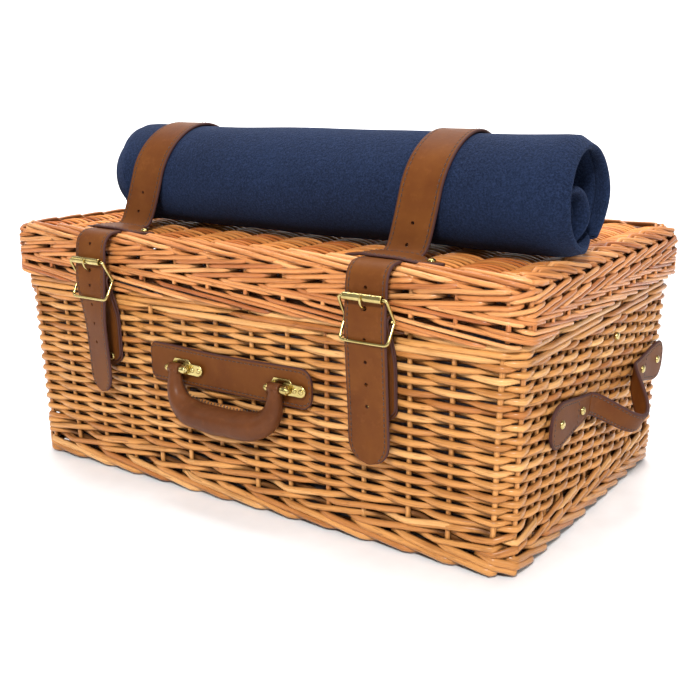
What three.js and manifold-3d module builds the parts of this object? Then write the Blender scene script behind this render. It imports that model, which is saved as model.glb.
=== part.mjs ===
// Wicker picnic basket with a lid, two buckled leather straps, handles and a rolled blanket.
// Units are millimetres. +Z is up, the front faces -Y, and the origin is at the middle of the
// underside. Left and right are those of a person who looks at the front.
import * as THREE from 'three';
import { mergeVertices } from 'three/addons/utils/BufferGeometryUtils.js';
import Module from 'manifold-3d';

const wasm = await Module();
wasm.setup();

// ---- driving dimensions ------------------------------------------------------------------
const GAP = 0.4; // clearance between pieces that touch on the real basket

const BASE = { width: 530, depth: 336 }; // outline of the body at the floor
const RIM = { width: 545, depth: 351, height: 187 }; // outline of the body under the lid
const LID = { width: 556, depth: 362, bottom: 187, top: 236, panel: 6, bevel: 3 };
const WALL = 12; // thickness of the woven walls
const CORNER = 13; // size of the chamfer that the corner stakes make
const POST = 21; // size of the corner piece along each wall
const FOOT = 13.6; // height of the foot border
const RIM_BAND = 15; // height of the border round the rim
const LINER = 1.5; // thickness of the fabric lining

const STRAP = { width: 38, thick: 2.8, x: 150 }; // long straps
const LEAN = { left: 24, right: 16 }; // how far each strap leans to the right over the roll
const ROLL = { left: -193, right: 276, y: -76, halfDepth: 49, halfHeight: 47.5 };
const KEEPER = { left: 46, right: 46, width: 26, thick: 2.2, y: -157.5 };
const EDGE_BEND = { y: -172.5, z: 237.8 }; // where a strap turns down over the lid's front edge
const DROP_END = { y: -192, z: 184 }; // where a strap leaves the lid's skirt

const BUCKLE = { y: -186, z: 195, halfWidth: 22, wire: 1.5, barY: -194.4, barZ: 178 };
const ROLLER = { y: -195.8, z: 213, radius: 3.2, bore: 1.9, halfLength: 17.5 };
const BILLET = { low: 110, thick: 4.4, loop: 4.2, slot: 5.6, rivetX: 8, rivetZ: 121 };
const PRONG = { radius: 1.3, eye: 3.4, width: 3.2, hole: 2.7, holeZ: 200 };

const PLATE = { left: -92, right: 88, low: 107, high: 143, thick: 3, corner: 11 };
const PIN = { x: 56, up: 124, out: 10.6, radius: 2.1 }; // pins that the front handle hangs on
const GRIP = { eye: 5, eyeWidth: 11.4, drop: 35, lean: 5, radius: 12 };

const SIDE = { middle: 20, span: 59, padLength: 78, padHeight: 38, up: 111 };
const SIDE_STRAP = { width: 20, thick: 3.4, top: 121, out: 30, drop: 20 };
const RIVET = { radius: 3.6, height: 2.2 };
const BACK_STRAP_LOW = 125; // lower end of the leather hinge on the back wall

// ---- materials ---------------------------------------------------------------------------
const material = (color, roughness, metalness = 0) =>
  new THREE.MeshStandardMaterial({ color, roughness, metalness });
const willow = material(0xd08f50, 0.55);
const willowLid = material(0xd58a50, 0.55);
const leather = material(0x7a4a30, 0.5);
const brass = material(0xd9b868, 0.25, 1);
const fleece = material(0x1d2b4a, 0.95);
const cotton = material(0xa9a6ad, 0.9);

// ---- geometry helpers --------------------------------------------------------------------
const vec = (x, y, z) => new THREE.Vector3(x, y, z);
const lerp = THREE.MathUtils.lerp;

// Skins a list of rings, each a list of points. Open skins are capped, and closed ones join
// their last ring to the first.
function skin(rings, closed = false) {
  const sides = rings[0].length;
  const positions = rings.flat().flatMap((point) => [point.x, point.y, point.z]);
  const index = [];
  const spans = closed ? rings.length : rings.length - 1;
  for (let i = 0; i < spans; i++) {
    const here = i * sides;
    const next = ((i + 1) % rings.length) * sides;
    for (let k = 0; k < sides; k++) {
      const right = (k + 1) % sides;
      index.push(here + k, here + right, next + right, here + k, next + right, next + k);
    }
  }
  if (!closed) {
    const last = (rings.length - 1) * sides;
    for (let k = 1; k < sides - 1; k++) {
      index.push(0, k + 1, k, last, last + k, last + k + 1);
    }
  }
  const geometry = new THREE.BufferGeometry();
  geometry.setAttribute('position', new THREE.Float32BufferAttribute(positions, 3));
  geometry.setIndex(signedVolume(positions, index) < 0 ? index.reverse() : index);
  return geometry;
}

function signedVolume(positions, index) {
  const corner = (i) => vec(...positions.slice(index[i] * 3, index[i] * 3 + 3));
  let volume = 0;
  for (let i = 0; i < index.length; i += 3) {
    volume += corner(i).dot(corner(i + 1).cross(corner(i + 2)));
  }
  return volume;
}

// An octagon: a rectangle with its corners cut, counter-clockwise seen from above.
function octagon(halfWidth, halfDepth, cut, z) {
  const [w, d] = [halfWidth, halfDepth];
  return [
    vec(w - cut, -d, z), vec(w, -d + cut, z), vec(w, d - cut, z), vec(w - cut, d, z),
    vec(-w + cut, d, z), vec(-w, d - cut, z), vec(-w, -d + cut, z), vec(-w + cut, -d, z),
  ];
}

// The body's half sizes at a height, moved inward by inset.
function bodyHalf(z, inset = 0) {
  const t = z / RIM.height;
  return {
    width: lerp(BASE.width, RIM.width, t) / 2 - inset,
    depth: lerp(BASE.depth, RIM.depth, t) / 2 - inset,
  };
}

const bodyOctagon = (z, inset, cut) => {
  const half = bodyHalf(z, inset);
  return octagon(half.width, half.depth, cut, z);
};

// A band round an octagon between two heights, as a closed ring of four-sided sections.
function band(outerLow, outerHigh, innerHigh, innerLow) {
  const sections = outerLow.map((point, k) => [point, outerHigh[k], innerHigh[k], innerLow[k]]);
  return skin(sections, true);
}

// A strap of rectangular section along a path of {x, y, z}, flat across X.
function ribbon(path, width, thick) {
  const rings = path.map((point, i) => {
    const before = path[Math.max(i - 1, 0)];
    const after = path[Math.min(i + 1, path.length - 1)];
    const along = vec(0, after.y - before.y, after.z - before.z).normalize();
    const off = vec(0, along.z, -along.y).multiplyScalar(thick / 2);
    const side = vec(width / 2, 0, 0);
    const centre = vec(point.x ?? 0, point.y, point.z);
    return [
      centre.clone().add(side).add(off), centre.clone().sub(side).add(off),
      centre.clone().sub(side).sub(off), centre.clone().add(side).sub(off),
    ];
  });
  return skin(rings);
}

// A round rod along points, with one radius for all or one for each point.
function rod(points, radius, sides = 10, closed = false) {
  const curve = new THREE.CatmullRomCurve3(points, closed, 'centripetal');
  const steps = closed ? points.length * 2 : points.length * 2 - 2;
  const frames = curve.computeFrenetFrames(steps, closed);
  const rings = [];
  for (let i = 0; i < (closed ? steps : steps + 1); i++) {
    const centre = curve.getPointAt(i / steps);
    const size = typeof radius === 'function' ? radius(i / steps) : radius;
    rings.push(circleOf(sides).map(([c, s]) => centre.clone()
      .addScaledVector(frames.normals[i], c * size)
      .addScaledVector(frames.binormals[i], s * size)));
  }
  return skin(rings, closed);
}

const circleOf = (sides) => Array.from({ length: sides }, (_, k) => {
  const angle = ((k + 0.5) / sides) * 2 * Math.PI;
  return [Math.cos(angle), Math.sin(angle)];
});

// A round bar or tube along X, centred on (x, y, z).
function barX({ x = 0, y, z, length, radius, bore = 0, sides = 16 }) {
  const shape = new THREE.Shape(circleOf(sides).map(([c, s]) => new THREE.Vector2(c * radius, s * radius)));
  if (bore) {
    const hole = circleOf(sides).map(([c, s]) => new THREE.Vector2(c * bore, s * bore));
    shape.holes.push(new THREE.Path(hole));
  }
  const geometry = new THREE.ExtrudeGeometry(shape, { depth: length, bevelEnabled: false });
  return geometry.rotateY(Math.PI / 2).translate(x - length / 2, y, z);
}

// A flat plate with rounded corners, from z = base to base + thick.
function roundedPlate(left, right, low, high, corner, base, thick) {
  const shape = new THREE.Shape();
  shape.moveTo(left + corner, low);
  shape.absarc(right - corner, low + corner, corner, -Math.PI / 2, 0);
  shape.absarc(right - corner, high - corner, corner, 0, Math.PI / 2);
  shape.absarc(left + corner, high - corner, corner, Math.PI / 2, Math.PI);
  shape.absarc(left + corner, low + corner, corner, Math.PI, Math.PI * 1.5);
  const options = { depth: thick, bevelEnabled: false, curveSegments: 5 };
  return new THREE.ExtrudeGeometry(shape, options).translate(0, 0, base);
}

function solidOf(geometry) {
  const bare = geometry.clone();
  bare.deleteAttribute('normal');
  bare.deleteAttribute('uv');
  const merged = mergeVertices(bare, 1e-4);
  return new wasm.Manifold(new wasm.Mesh({
    numProp: 3,
    vertProperties: new Float32Array(merged.attributes.position.array),
    triVerts: new Uint32Array(merged.index.array),
  }));
}

function geometryOf(solid) {
  const mesh = solid.getMesh();
  const geometry = new THREE.BufferGeometry();
  geometry.setAttribute('position', new THREE.BufferAttribute(new Float32Array(mesh.vertProperties), 3));
  geometry.setIndex(new THREE.BufferAttribute(new Uint32Array(mesh.triVerts), 1));
  return geometry;
}

const joined = (...geometries) =>
  geometryOf(geometries.map(solidOf).reduce((sum, solid) => sum.add(solid)));
const cut = (geometry, ...tools) =>
  geometryOf(tools.map(solidOf).reduce((rest, tool) => rest.subtract(tool), solidOf(geometry)));

const basket = new THREE.Group();

function add(name, geometry, look, parent = basket) {
  const mesh = new THREE.Mesh(geometry, look);
  mesh.name = name;
  parent.add(mesh);
  return mesh;
}

// A frame on an outer wall: local X runs to the right, Y up the wall and Z outward.
function wallFrame(turn, baseHalf, rimHalf) {
  const spin = new THREE.Group();
  spin.rotation.z = turn;
  const face = new THREE.Group();
  face.position.y = -baseHalf;
  face.rotation.x = Math.PI / 2 + Math.atan2(rimHalf - baseHalf, RIM.height);
  spin.add(face);
  basket.add(spin);
  return face;
}

const SIDES = [['left', -1], ['right', 1]];
const frontWall = wallFrame(0, BASE.depth / 2, RIM.depth / 2);
const sideWalls = {
  left: wallFrame(-Math.PI / 2, BASE.width / 2, RIM.width / 2),
  right: wallFrame(Math.PI / 2, BASE.width / 2, RIM.width / 2),
};

// ---- woven body --------------------------------------------------------------------------
function buildBody() {
  const low = FOOT + GAP;
  const high = RIM.height - RIM_BAND - GAP;
  const innerCut = CORNER - 5;
  add('foot_border', band(bodyOctagon(0, 0, CORNER), bodyOctagon(FOOT, 0, CORNER),
    bodyOctagon(FOOT, WALL, innerCut), bodyOctagon(0, WALL, innerCut)), willow);
  const floor = WALL + GAP;
  add('base_panel', skin([bodyOctagon(0, floor, innerCut), bodyOctagon(WALL, floor, innerCut)]), willow);
  add('rim_border', band(
    bodyOctagon(high + GAP, 0, CORNER), bodyOctagon(RIM.height - GAP, 0, CORNER),
    bodyOctagon(RIM.height - GAP, WALL, innerCut), bodyOctagon(high + GAP, WALL, innerCut)), willow);

  const slab = (outline) => skin([low, high].map(outline));
  const acrossX = (sign) => (z) => {
    const { width, depth } = bodyHalf(z);
    const end = width - POST - GAP;
    return [vec(-end, sign * depth, z), vec(end, sign * depth, z),
      vec(end, sign * (depth - WALL), z), vec(-end, sign * (depth - WALL), z)];
  };
  const acrossY = (sign) => (z) => {
    const { width, depth } = bodyHalf(z);
    const end = depth - POST - GAP;
    return [vec(sign * width, -end, z), vec(sign * width, end, z),
      vec(sign * (width - WALL), end, z), vec(sign * (width - WALL), -end, z)];
  };
  add('wall_front', slab(acrossX(-1)), willow);
  add('wall_back', slab(acrossX(1)), willow);
  add('wall_left', slab(acrossY(-1)), willow);
  add('wall_right', slab(acrossY(1)), willow);

  for (const [row, front] of [['front', -1], ['back', 1]]) {
    for (const [side, sign] of SIDES) {
      const post = (z) => {
        const { width: w, depth: d } = bodyHalf(z);
        const outline = [[w - POST, d], [w - CORNER, d], [w, d - CORNER], [w, d - POST],
          [w - WALL, d - POST], [w - POST, d - WALL]];
        return outline.map(([x, y]) => vec(sign * x, front * y, z));
      };
      add(`corner_post_${row}_${side}`, slab(post), willow);
    }
  }

  const outside = WALL + GAP;
  const fold = innerCut + 1;
  add('liner', skin([
    bodyOctagon(WALL + GAP, outside, fold), bodyOctagon(RIM.height - 1, outside, fold),
    bodyOctagon(RIM.height - 1, outside + LINER, fold),
    bodyOctagon(WALL + GAP + LINER, outside + LINER, fold)]), cotton);
}

// ---- woven lid ---------------------------------------------------------------------------
function buildLid() {
  const half = { width: LID.width / 2, depth: LID.depth / 2 };
  const ring = (inset, corner, z) => octagon(half.width - inset, half.depth - inset, corner, z);
  const underside = LID.top - LID.panel;
  const [outer, inner] = [CORNER - 2, CORNER - 5];
  add('lid_skirt', band(ring(0, outer, LID.bottom), ring(0, outer, underside - GAP),
    ring(WALL, inner, underside - GAP), ring(WALL, inner, LID.bottom)), willowLid);
  add('lid_panel', skin([ring(0, outer, underside), ring(0, outer, LID.top - LID.bevel),
    ring(LID.bevel, outer - 1, LID.top)]), willowLid);
}

// ---- long straps -------------------------------------------------------------------------
const STRAP_REST = LID.top + GAP + STRAP.thick / 2; // height of a strap's middle on the lid

// The strap's middle line from the back hinge, over the lid and the roll, to the lid's front edge.
function strapOverLid(lean) {
  const backFace = LID.depth / 2 + GAP + STRAP.thick / 2;
  const reachY = ROLL.halfDepth + GAP + STRAP.thick / 2;
  const reachZ = ROLL.halfHeight + GAP + STRAP.thick / 2;
  const centreZ = LID.top + GAP + ROLL.halfHeight + 0.2;
  const path = [];
  const bend = 5.6;
  path.push({ y: backFace, z: 195 }, { y: backFace, z: STRAP_REST - bend });
  for (let k = 1; k <= 4; k++) {
    const angle = (k / 4) * (Math.PI / 2);
    path.push({ y: backFace - bend * (1 - Math.cos(angle)), z: STRAP_REST - bend * (1 - Math.sin(angle)) });
  }
  path.push({ y: 90, z: STRAP_REST });
  const foot = [[68, 0], [62.5, 0.6], [57.5, 4.2], [54.5, 12.2], [52.5, 26.2]];
  foot.forEach(([off, up]) => path.push({ y: ROLL.y + off, z: STRAP_REST + up }));
  const turns = 14;
  for (let k = 0; k <= turns; k++) {
    const angle = Math.PI * (k / turns);
    path.push({ y: ROLL.y + reachY * Math.cos(angle), z: centreZ + reachZ * Math.sin(angle) });
  }
  foot.reverse().forEach(([off, up]) => path.push({ y: ROLL.y - off, z: STRAP_REST + up }));
  path.push({ y: EDGE_BEND.y, z: STRAP_REST });
  return path.map(({ y, z }) => {
    const over = THREE.MathUtils.clamp((z - STRAP_REST) / (2 * ROLL.halfHeight), 0, 1);
    return { x: lean * over, y, z };
  });
}

function strapFront() {
  const turn = [[-177, 237.9], [-182.5, 236.8], [-187, 233.2], [-189.6, 227.5], [-190.5, 220],
    [-190.7, 213], [-191.3, 206], [-191.9, 200], [-192.2, 194], [-192.1, 189]];
  const path = [[EDGE_BEND.y - GAP, EDGE_BEND.z], ...turn, [DROP_END.y, DROP_END.z]];
  return path.map(([y, z]) => ({ y, z }));
}

// Where each tail's rounded tip begins: the left strap hangs a little less low.
const TAIL_END = { left: [-186.2, 104.5], right: [-185.6, 95] };

function strapTail(side) {
  const path = [[DROP_END.y, DROP_END.z - GAP], [-191.4, 178], [-190.4, 165], [-188.4, 140],
    [-186.6, 115], TAIL_END[side]];
  return path.map(([y, z]) => ({ y, z }));
}

// The tail's rounded tip, drawn from above its last point.
function tailTip(side) {
  const shape = new THREE.Shape();
  const half = STRAP.width / 2;
  shape.moveTo(-half, 0.5);
  shape.quadraticCurveTo(-half, -17, 0, -17);
  shape.quadraticCurveTo(half, -17, half, 0.5);
  const options = { depth: STRAP.thick, bevelEnabled: false, curveSegments: 6 };
  const tip = new THREE.ExtrudeGeometry(shape, options).translate(0, 0, -STRAP.thick / 2);
  return tip.rotateX(Math.PI / 2 - Math.atan2(1, 20)).translate(0, ...TAIL_END[side]);
}

function buildStraps() {
  for (const [side, sign] of SIDES) {
    const x = sign * STRAP.x;
    const over = ribbon(strapOverLid(LEAN[side]), STRAP.width, STRAP.thick);
    add(`strap_${side}`, over, leather).position.x = x;
    const prongHole = new THREE.CylinderGeometry(PRONG.hole, PRONG.hole, 12, 12)
      .translate(0, DROP_END.y, PRONG.holeZ);
    const front = cut(ribbon(strapFront(), STRAP.width, STRAP.thick), prongHole);
    add(`strap_front_${side}`, front, leather).position.x = x;
    const tail = joined(ribbon(strapTail(side), STRAP.width, STRAP.thick), tailTip(side));
    add(`strap_tail_${side}`, tail, leather).position.x = x;
    const wall = (z) => bodyHalf(z).depth + GAP + STRAP.thick / 2;
    const lidFace = LID.depth / 2 + GAP + STRAP.thick / 2;
    const hinge = [[lidFace, 194.6], [lidFace, 187], [182.4, 184], [180.4, 180],
      [178.4, 174], [wall(165), 165], [wall(BACK_STRAP_LOW), BACK_STRAP_LOW]];
    const leaf = ribbon(hinge.map(([y, z]) => ({ y, z })), STRAP.width, STRAP.thick);
    add(`hinge_strap_${side}`, leaf, leather).position.x = x;
  }
}

// The keeper is a short cross strap that arches over the long strap at the lid's front edge.
function buildKeepers() {
  for (const [side, sign] of SIDES) {
    const top = STRAP_REST + STRAP.thick / 2 + GAP + KEEPER.thick / 2;
    const low = LID.top + GAP + KEEPER.thick / 2;
    const flat = STRAP.width / 2 + 1;
    const path = [[-KEEPER.left, low], [-flat - 6, low], [-flat, top], [flat, top],
      [flat + 6, low], [KEEPER.right, low]];
    const rings = path.map(([x, z]) => {
      const y = [KEEPER.y - KEEPER.width / 2, KEEPER.y + KEEPER.width / 2];
      const thick = KEEPER.thick / 2;
      return [vec(x, y[0], z - thick), vec(x, y[1], z - thick), vec(x, y[1], z + thick), vec(x, y[0], z + thick)];
    });
    add(`keeper_${side}`, skin(rings), leather).position.x = sign * STRAP.x;
    const stud = add(`keeper_stud_${side}`, rivetHead(), brass);
    stud.position.set(sign * STRAP.x + KEEPER.right - 9, KEEPER.y, low + KEEPER.thick / 2 + GAP);
  }
}

// A domed head standing on the XY plane.
function rivetHead() {
  const profile = [new THREE.Vector2(0, 0), new THREE.Vector2(RIVET.radius, 0)];
  for (let k = 1; k <= 3; k++) {
    const angle = (k / 4) * (Math.PI / 2);
    profile.push(new THREE.Vector2(RIVET.radius * Math.cos(angle), RIVET.height * Math.sin(angle)));
  }
  profile.push(new THREE.Vector2(0, RIVET.height));
  return new THREE.LatheGeometry(profile, 12).rotateX(Math.PI / 2);
}

// ---- buckles -----------------------------------------------------------------------------
// The wire frame: a roller bar, a lower bar and side wires that bend back to the centre bar.
function buckleFrame() {
  const w = BUCKLE.halfWidth;
  const [top, low] = [ROLLER, { y: BUCKLE.barY, z: BUCKLE.barZ }];
  const half = [
    vec(0, top.y, top.z), vec(w - 3, top.y, top.z), vec(w - 0.8, top.y + 0.4, top.z - 0.8),
    vec(w, top.y + 1.4, top.z - 3), vec(w, BUCKLE.y - 1.2, BUCKLE.z + 2), vec(w, BUCKLE.y, BUCKLE.z),
    vec(w, BUCKLE.y - 1.2, BUCKLE.z - 2), vec(w, low.y + 1.4, low.z + 3),
    vec(w - 0.8, low.y + 0.4, low.z + 0.8), vec(w - 3, low.y, low.z), vec(0, low.y, low.z),
  ];
  const mirrored = half.slice(1, -1).reverse().map((point) => vec(-point.x, point.y, point.z));
  const loop = rod([...half, ...mirrored], BUCKLE.wire, 8, true);
  const bar = barX({ y: BUCKLE.y, z: BUCKLE.z, length: 2 * w, radius: BUCKLE.wire, sides: 10 });
  return joined(loop, bar);
}

// The prong turns on the centre bar, comes out through a hole and rests on the roller.
function prong() {
  const { y, z } = BUCKLE;
  const eye = barX({ y, z, length: PRONG.width, radius: PRONG.eye, bore: BUCKLE.wire + GAP });
  const shank = rod([vec(0, y - 2, z + 2.2), vec(0, y - 5, z + 4.4), vec(0, y - 9, z + 5.8),
    vec(0, y - 11.6, z + 9), vec(0, y - 14.6, z + 16), vec(0, y - 14.8, z + 21)],
  (t) => PRONG.radius * (1 - 0.3 * t), 8);
  const clearBar = barX({ y, z, length: 20, radius: BUCKLE.wire + GAP });
  return cut(joined(eye, shank), clearBar);
}

// The billet is riveted to the wall, and loops round the centre bar with a slot for the prong.
function billet() {
  const wall = (z) => -bodyHalf(z).depth - GAP - BILLET.thick / 2;
  const path = [[wall(BILLET.low), BILLET.low], [wall(140), 140], [wall(162), 162], [-179.2, 172],
    [-183, 181], [-185.4, 188], [-186, 191.4]];
  const strip = ribbon(path.map(([y, z]) => ({ y, z })), STRAP.width, BILLET.thick);
  const { y, z } = BUCKLE;
  const loop = barX({ y, z, length: STRAP.width, radius: BILLET.loop });
  const bore = barX({ y, z, length: STRAP.width + 4, radius: BUCKLE.wire + GAP });
  const slot = new THREE.BoxGeometry(BILLET.slot, 12, 12).translate(0, y, z + 1.4);
  return cut(joined(strip, loop), bore, slot);
}

function buildBuckles() {
  for (const [side, sign] of SIDES) {
    const group = new THREE.Group();
    group.position.x = sign * STRAP.x;
    basket.add(group);
    add(`billet_${side}`, billet(), leather, group);
    add(`buckle_frame_${side}`, buckleFrame(), brass, group);
    add(`buckle_roller_${side}`, barX({ ...ROLLER, length: 2 * ROLLER.halfLength }), brass, group);
    add(`buckle_prong_${side}`, prong(), brass, group);
    const rivet = add(`billet_rivet_${side}`, rivetHead(), brass, frontWall);
    rivet.position.set(sign * STRAP.x + BILLET.rivetX, BILLET.rivetZ, BILLET.thick + 2 * GAP);
  }
}

// ---- front handle ------------------------------------------------------------------------
// A bracket stands on the leather plate: a left ear and a knuckle with a flange on its right.
function bracket() {
  const base = roundedPlate(-9.5, 27, -6.5, 6.5, 5, 0, 1.5);
  const ear = new THREE.BoxGeometry(2, 7, PIN.out - 1.5).translate(-8.2, 0, (PIN.out - 1.5) / 2 + 1);
  const knuckle = new THREE.BoxGeometry(6, 7, PIN.out - 1.5).translate(10.2, 0, (PIN.out - 1.5) / 2 + 1);
  const rise = PIN.out - PLATE.thick - 2 * GAP;
  const barrel = (x, length) => barX({ x, y: 0, z: rise, length, radius: 3.9, sides: 12 });
  const bore = barX({ y: 0, z: rise, length: 60, radius: PIN.radius + 0.3, sides: 12 });
  return cut(joined(base, ear, knuckle, barrel(-8.2, 2), barrel(10.2, 6)), bore);
}

// The padded grip: a thick tube between two flat eyes that hang on the pins.
function grip() {
  const { x } = PIN;
  const bottom = -GRIP.drop;
  const route = [vec(-x, 0, 0), vec(-x, -9, 0.6), vec(-x + 3.5, -20, 2), vec(-x + 14, -30, 3.8),
    vec(-x + 32, bottom + 0.6, 4.8), vec(0, bottom, GRIP.lean)];
  const path = [...route, ...route.slice(0, -1).reverse().map((point) => vec(-point.x, point.y, point.z))];
  const thickness = (t) => 4.8 + (GRIP.radius - 4.8) * Math.min(1, Math.sin(Math.PI * t) * 1.25) ** 1.2;
  const tube = rod(path, thickness, 12);
  const eyes = [-x, x].map((at) => barX({ x: at, y: 0, z: 0, length: GRIP.eyeWidth, radius: GRIP.eye }));
  const bore = barX({ y: 0, z: 0, length: 4 * x, radius: PIN.radius + 0.3 });
  return cut(joined(tube, ...eyes), bore);
}

function buildFrontHandle() {
  const { left, right, low, high, corner, thick } = PLATE;
  add('handle_plate', roundedPlate(left, right, low, high, corner, GAP, thick), leather, frontWall);
  for (const [side, sign] of SIDES) {
    const holder = add(`handle_bracket_${side}`, bracket(), brass, frontWall);
    holder.position.set(sign * PIN.x, PIN.up, thick + 2 * GAP);
    const pin = barX({ x: 1, y: 0, z: 0, length: 24, radius: PIN.radius, sides: 12 });
    add(`handle_pin_${side}`, pin, brass, frontWall).position.set(sign * PIN.x, PIN.up, PIN.out);
  }
  add('front_handle', grip(), leather, frontWall).position.set(0, PIN.up, PIN.out);
}

// ---- side handles ------------------------------------------------------------------------
// A flat strap that bulges out and droops between its two pads, in the frame of its wall.
function sideStrap() {
  const steps = 16;
  const rings = [];
  for (let i = 0; i <= steps; i++) {
    const t = i / steps;
    const bulge = Math.sin(Math.PI * t) ** 1.6;
    const slope = lerp(-1, 1, t);
    const x = lerp(-SIDE.span + GAP, SIDE.span - GAP, t);
    const out = GAP + SIDE_STRAP.thick / 2 + bulge * SIDE_STRAP.out;
    const top = SIDE_STRAP.top - bulge * SIDE_STRAP.drop;
    const lead = Math.abs(slope) < 0.95 ? slope * -0.35 : 0;
    const off = vec(lead, 0, 1).normalize().multiplyScalar(SIDE_STRAP.thick / 2);
    const corner = (up, sign) => vec(x, top - up, out).addScaledVector(off, sign);
    rings.push([corner(0, 1), corner(SIDE_STRAP.width, 1), corner(SIDE_STRAP.width, -1), corner(0, -1)]);
  }
  return skin(rings);
}

function buildSideHandles() {
  for (const [side, sign] of SIDES) {
    const wall = sideWalls[side];
    const middle = sign * SIDE.middle;
    add(`side_handle_${side}`, sideStrap(), leather, wall).position.x = middle;
    for (const [row, end] of [['front', -sign], ['back', sign]]) {
      const centre = middle + end * (SIDE.span + SIDE.padLength / 2);
      const pad = roundedPlate(centre - SIDE.padLength / 2, centre + SIDE.padLength / 2,
        SIDE.up - SIDE.padHeight / 2, SIDE.up + SIDE.padHeight / 2, 12, GAP, 3);
      add(`side_pad_${side}_${row}`, pad, leather, wall);
      for (const [place, offset] of [['inner', 17], ['outer', 60]]) {
        const rivet = add(`side_rivet_${side}_${row}_${place}`, rivetHead(), brass, wall);
        rivet.position.set(middle + end * (SIDE.span + offset), SIDE.up, 3 + 2 * GAP);
      }
    }
    const stud = add(`wall_stud_${side}`, rivetHead(), brass, wall);
    stud.position.set(middle, 157, GAP);
  }
}

// ---- rolled blanket ----------------------------------------------------------------------
function buildBlanket() {
  const sides = 32;
  const section = (x, scale) => circleOf(sides).map(([c, s]) => vec(
    x, ROLL.y + ROLL.halfDepth * scale * c, LID.top + GAP + 0.2 + ROLL.halfHeight * (1 + scale * s)));
  const ends = [[ROLL.left, 0.82], [ROLL.left + 3, 0.93], [ROLL.left + 8, 1],
    [ROLL.right - 8, 1], [ROLL.right - 3, 0.93], [ROLL.right, 0.82]];
  add('blanket', skin(ends.map(([x, scale]) => section(x, scale))), fleece);
}

buildBody();
buildLid();
buildStraps();
buildKeepers();
buildBuckles();
buildFrontHandle();
buildSideHandles();
buildBlanket();

export default basket;
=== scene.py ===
"""The looks of a wicker picnic basket with buckled straps, handles and a rolled blanket."""
import math

import bpy
import numpy as np
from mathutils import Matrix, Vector


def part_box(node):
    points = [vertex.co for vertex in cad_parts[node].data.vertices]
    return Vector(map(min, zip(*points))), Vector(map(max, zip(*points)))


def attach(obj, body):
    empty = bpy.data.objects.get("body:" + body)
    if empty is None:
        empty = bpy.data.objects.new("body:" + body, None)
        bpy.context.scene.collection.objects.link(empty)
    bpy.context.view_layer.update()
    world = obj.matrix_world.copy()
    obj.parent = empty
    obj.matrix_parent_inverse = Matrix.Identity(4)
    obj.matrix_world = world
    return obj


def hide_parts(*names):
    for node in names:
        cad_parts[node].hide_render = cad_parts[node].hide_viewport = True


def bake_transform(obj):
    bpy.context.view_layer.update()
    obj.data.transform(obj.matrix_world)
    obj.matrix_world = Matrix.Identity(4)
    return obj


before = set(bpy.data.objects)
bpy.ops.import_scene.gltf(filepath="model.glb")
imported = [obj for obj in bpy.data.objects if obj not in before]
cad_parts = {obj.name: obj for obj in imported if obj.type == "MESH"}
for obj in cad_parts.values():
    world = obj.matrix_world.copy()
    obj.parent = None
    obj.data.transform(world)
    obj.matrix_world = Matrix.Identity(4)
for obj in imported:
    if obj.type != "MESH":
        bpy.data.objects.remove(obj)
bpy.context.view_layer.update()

MM = 0.001
rng = np.random.default_rng(11)

# the basket's main sizes. Lengths are in millimetres up to the stage, and MM makes them metres
RIM_Z, LID_TOP = 187.0, 236.0
HALF_WIDTH, HALF_DEPTH = 265, 168  # the body's outer half sizes on the ground
FLARE = 7.5  # how far its walls lean out on the way up to the rim
LID_HALF_WIDTH, LID_HALF_DEPTH = 278, 181
GAP = 0.4  # between a leather piece and what it lies on


# ---- mesh building ------------------------------------------------------------------------
def unit(vectors):
    """Vectors scaled to length one along the last axis."""
    length = np.linalg.norm(vectors, axis=-1, keepdims=True)
    return vectors / np.maximum(length, 1e-9)


def travelled(points):
    """The distance gone along a line, at each of its points."""
    steps = np.linalg.norm(np.diff(points, axis=0), axis=1)
    return np.concatenate([[0], np.cumsum(steps)])


def tangents(path):
    return unit(np.gradient(path, axis=0))


def resample(at, gone, points):
    """The line's points at other distances along it."""
    return np.stack([np.interp(at, gone, column) for column in np.transpose(points)], -1)


def square_to(direction, tangent):
    """The direction without its part along the tangent, at length one."""
    return unit(direction - (direction * tangent).sum(-1, keepdims=True) * tangent)


def smoothstep(low, high, value):
    t = np.clip((value - low) / (high - low), 0, 1)
    return t * t * (3 - 2 * t)


def wobble(count, cycles, size):
    """A smooth random curve with about that many cycles over its length."""
    t = np.linspace(0, 1, count)
    total = np.zeros(count)
    for k in (0.5, 1.0, 1.9):
        total += np.sin(2 * math.pi * (k * cycles * t + rng.random())) / (1 + k)
    return size * total


def add_object(name, data):
    made = bpy.data.objects.new(name, data)
    bpy.context.collection.objects.link(made)
    return made


def shade_smooth(mesh):
    mesh.polygons.foreach_set("use_smooth", np.ones(len(mesh.polygons), bool))


def declare(piece, body, slot, *nodes):
    """Says which body a piece rides on and hides the CAD nodes it stands for. slot is not used."""
    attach(piece, body)
    if nodes:
        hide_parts(*nodes)


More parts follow.
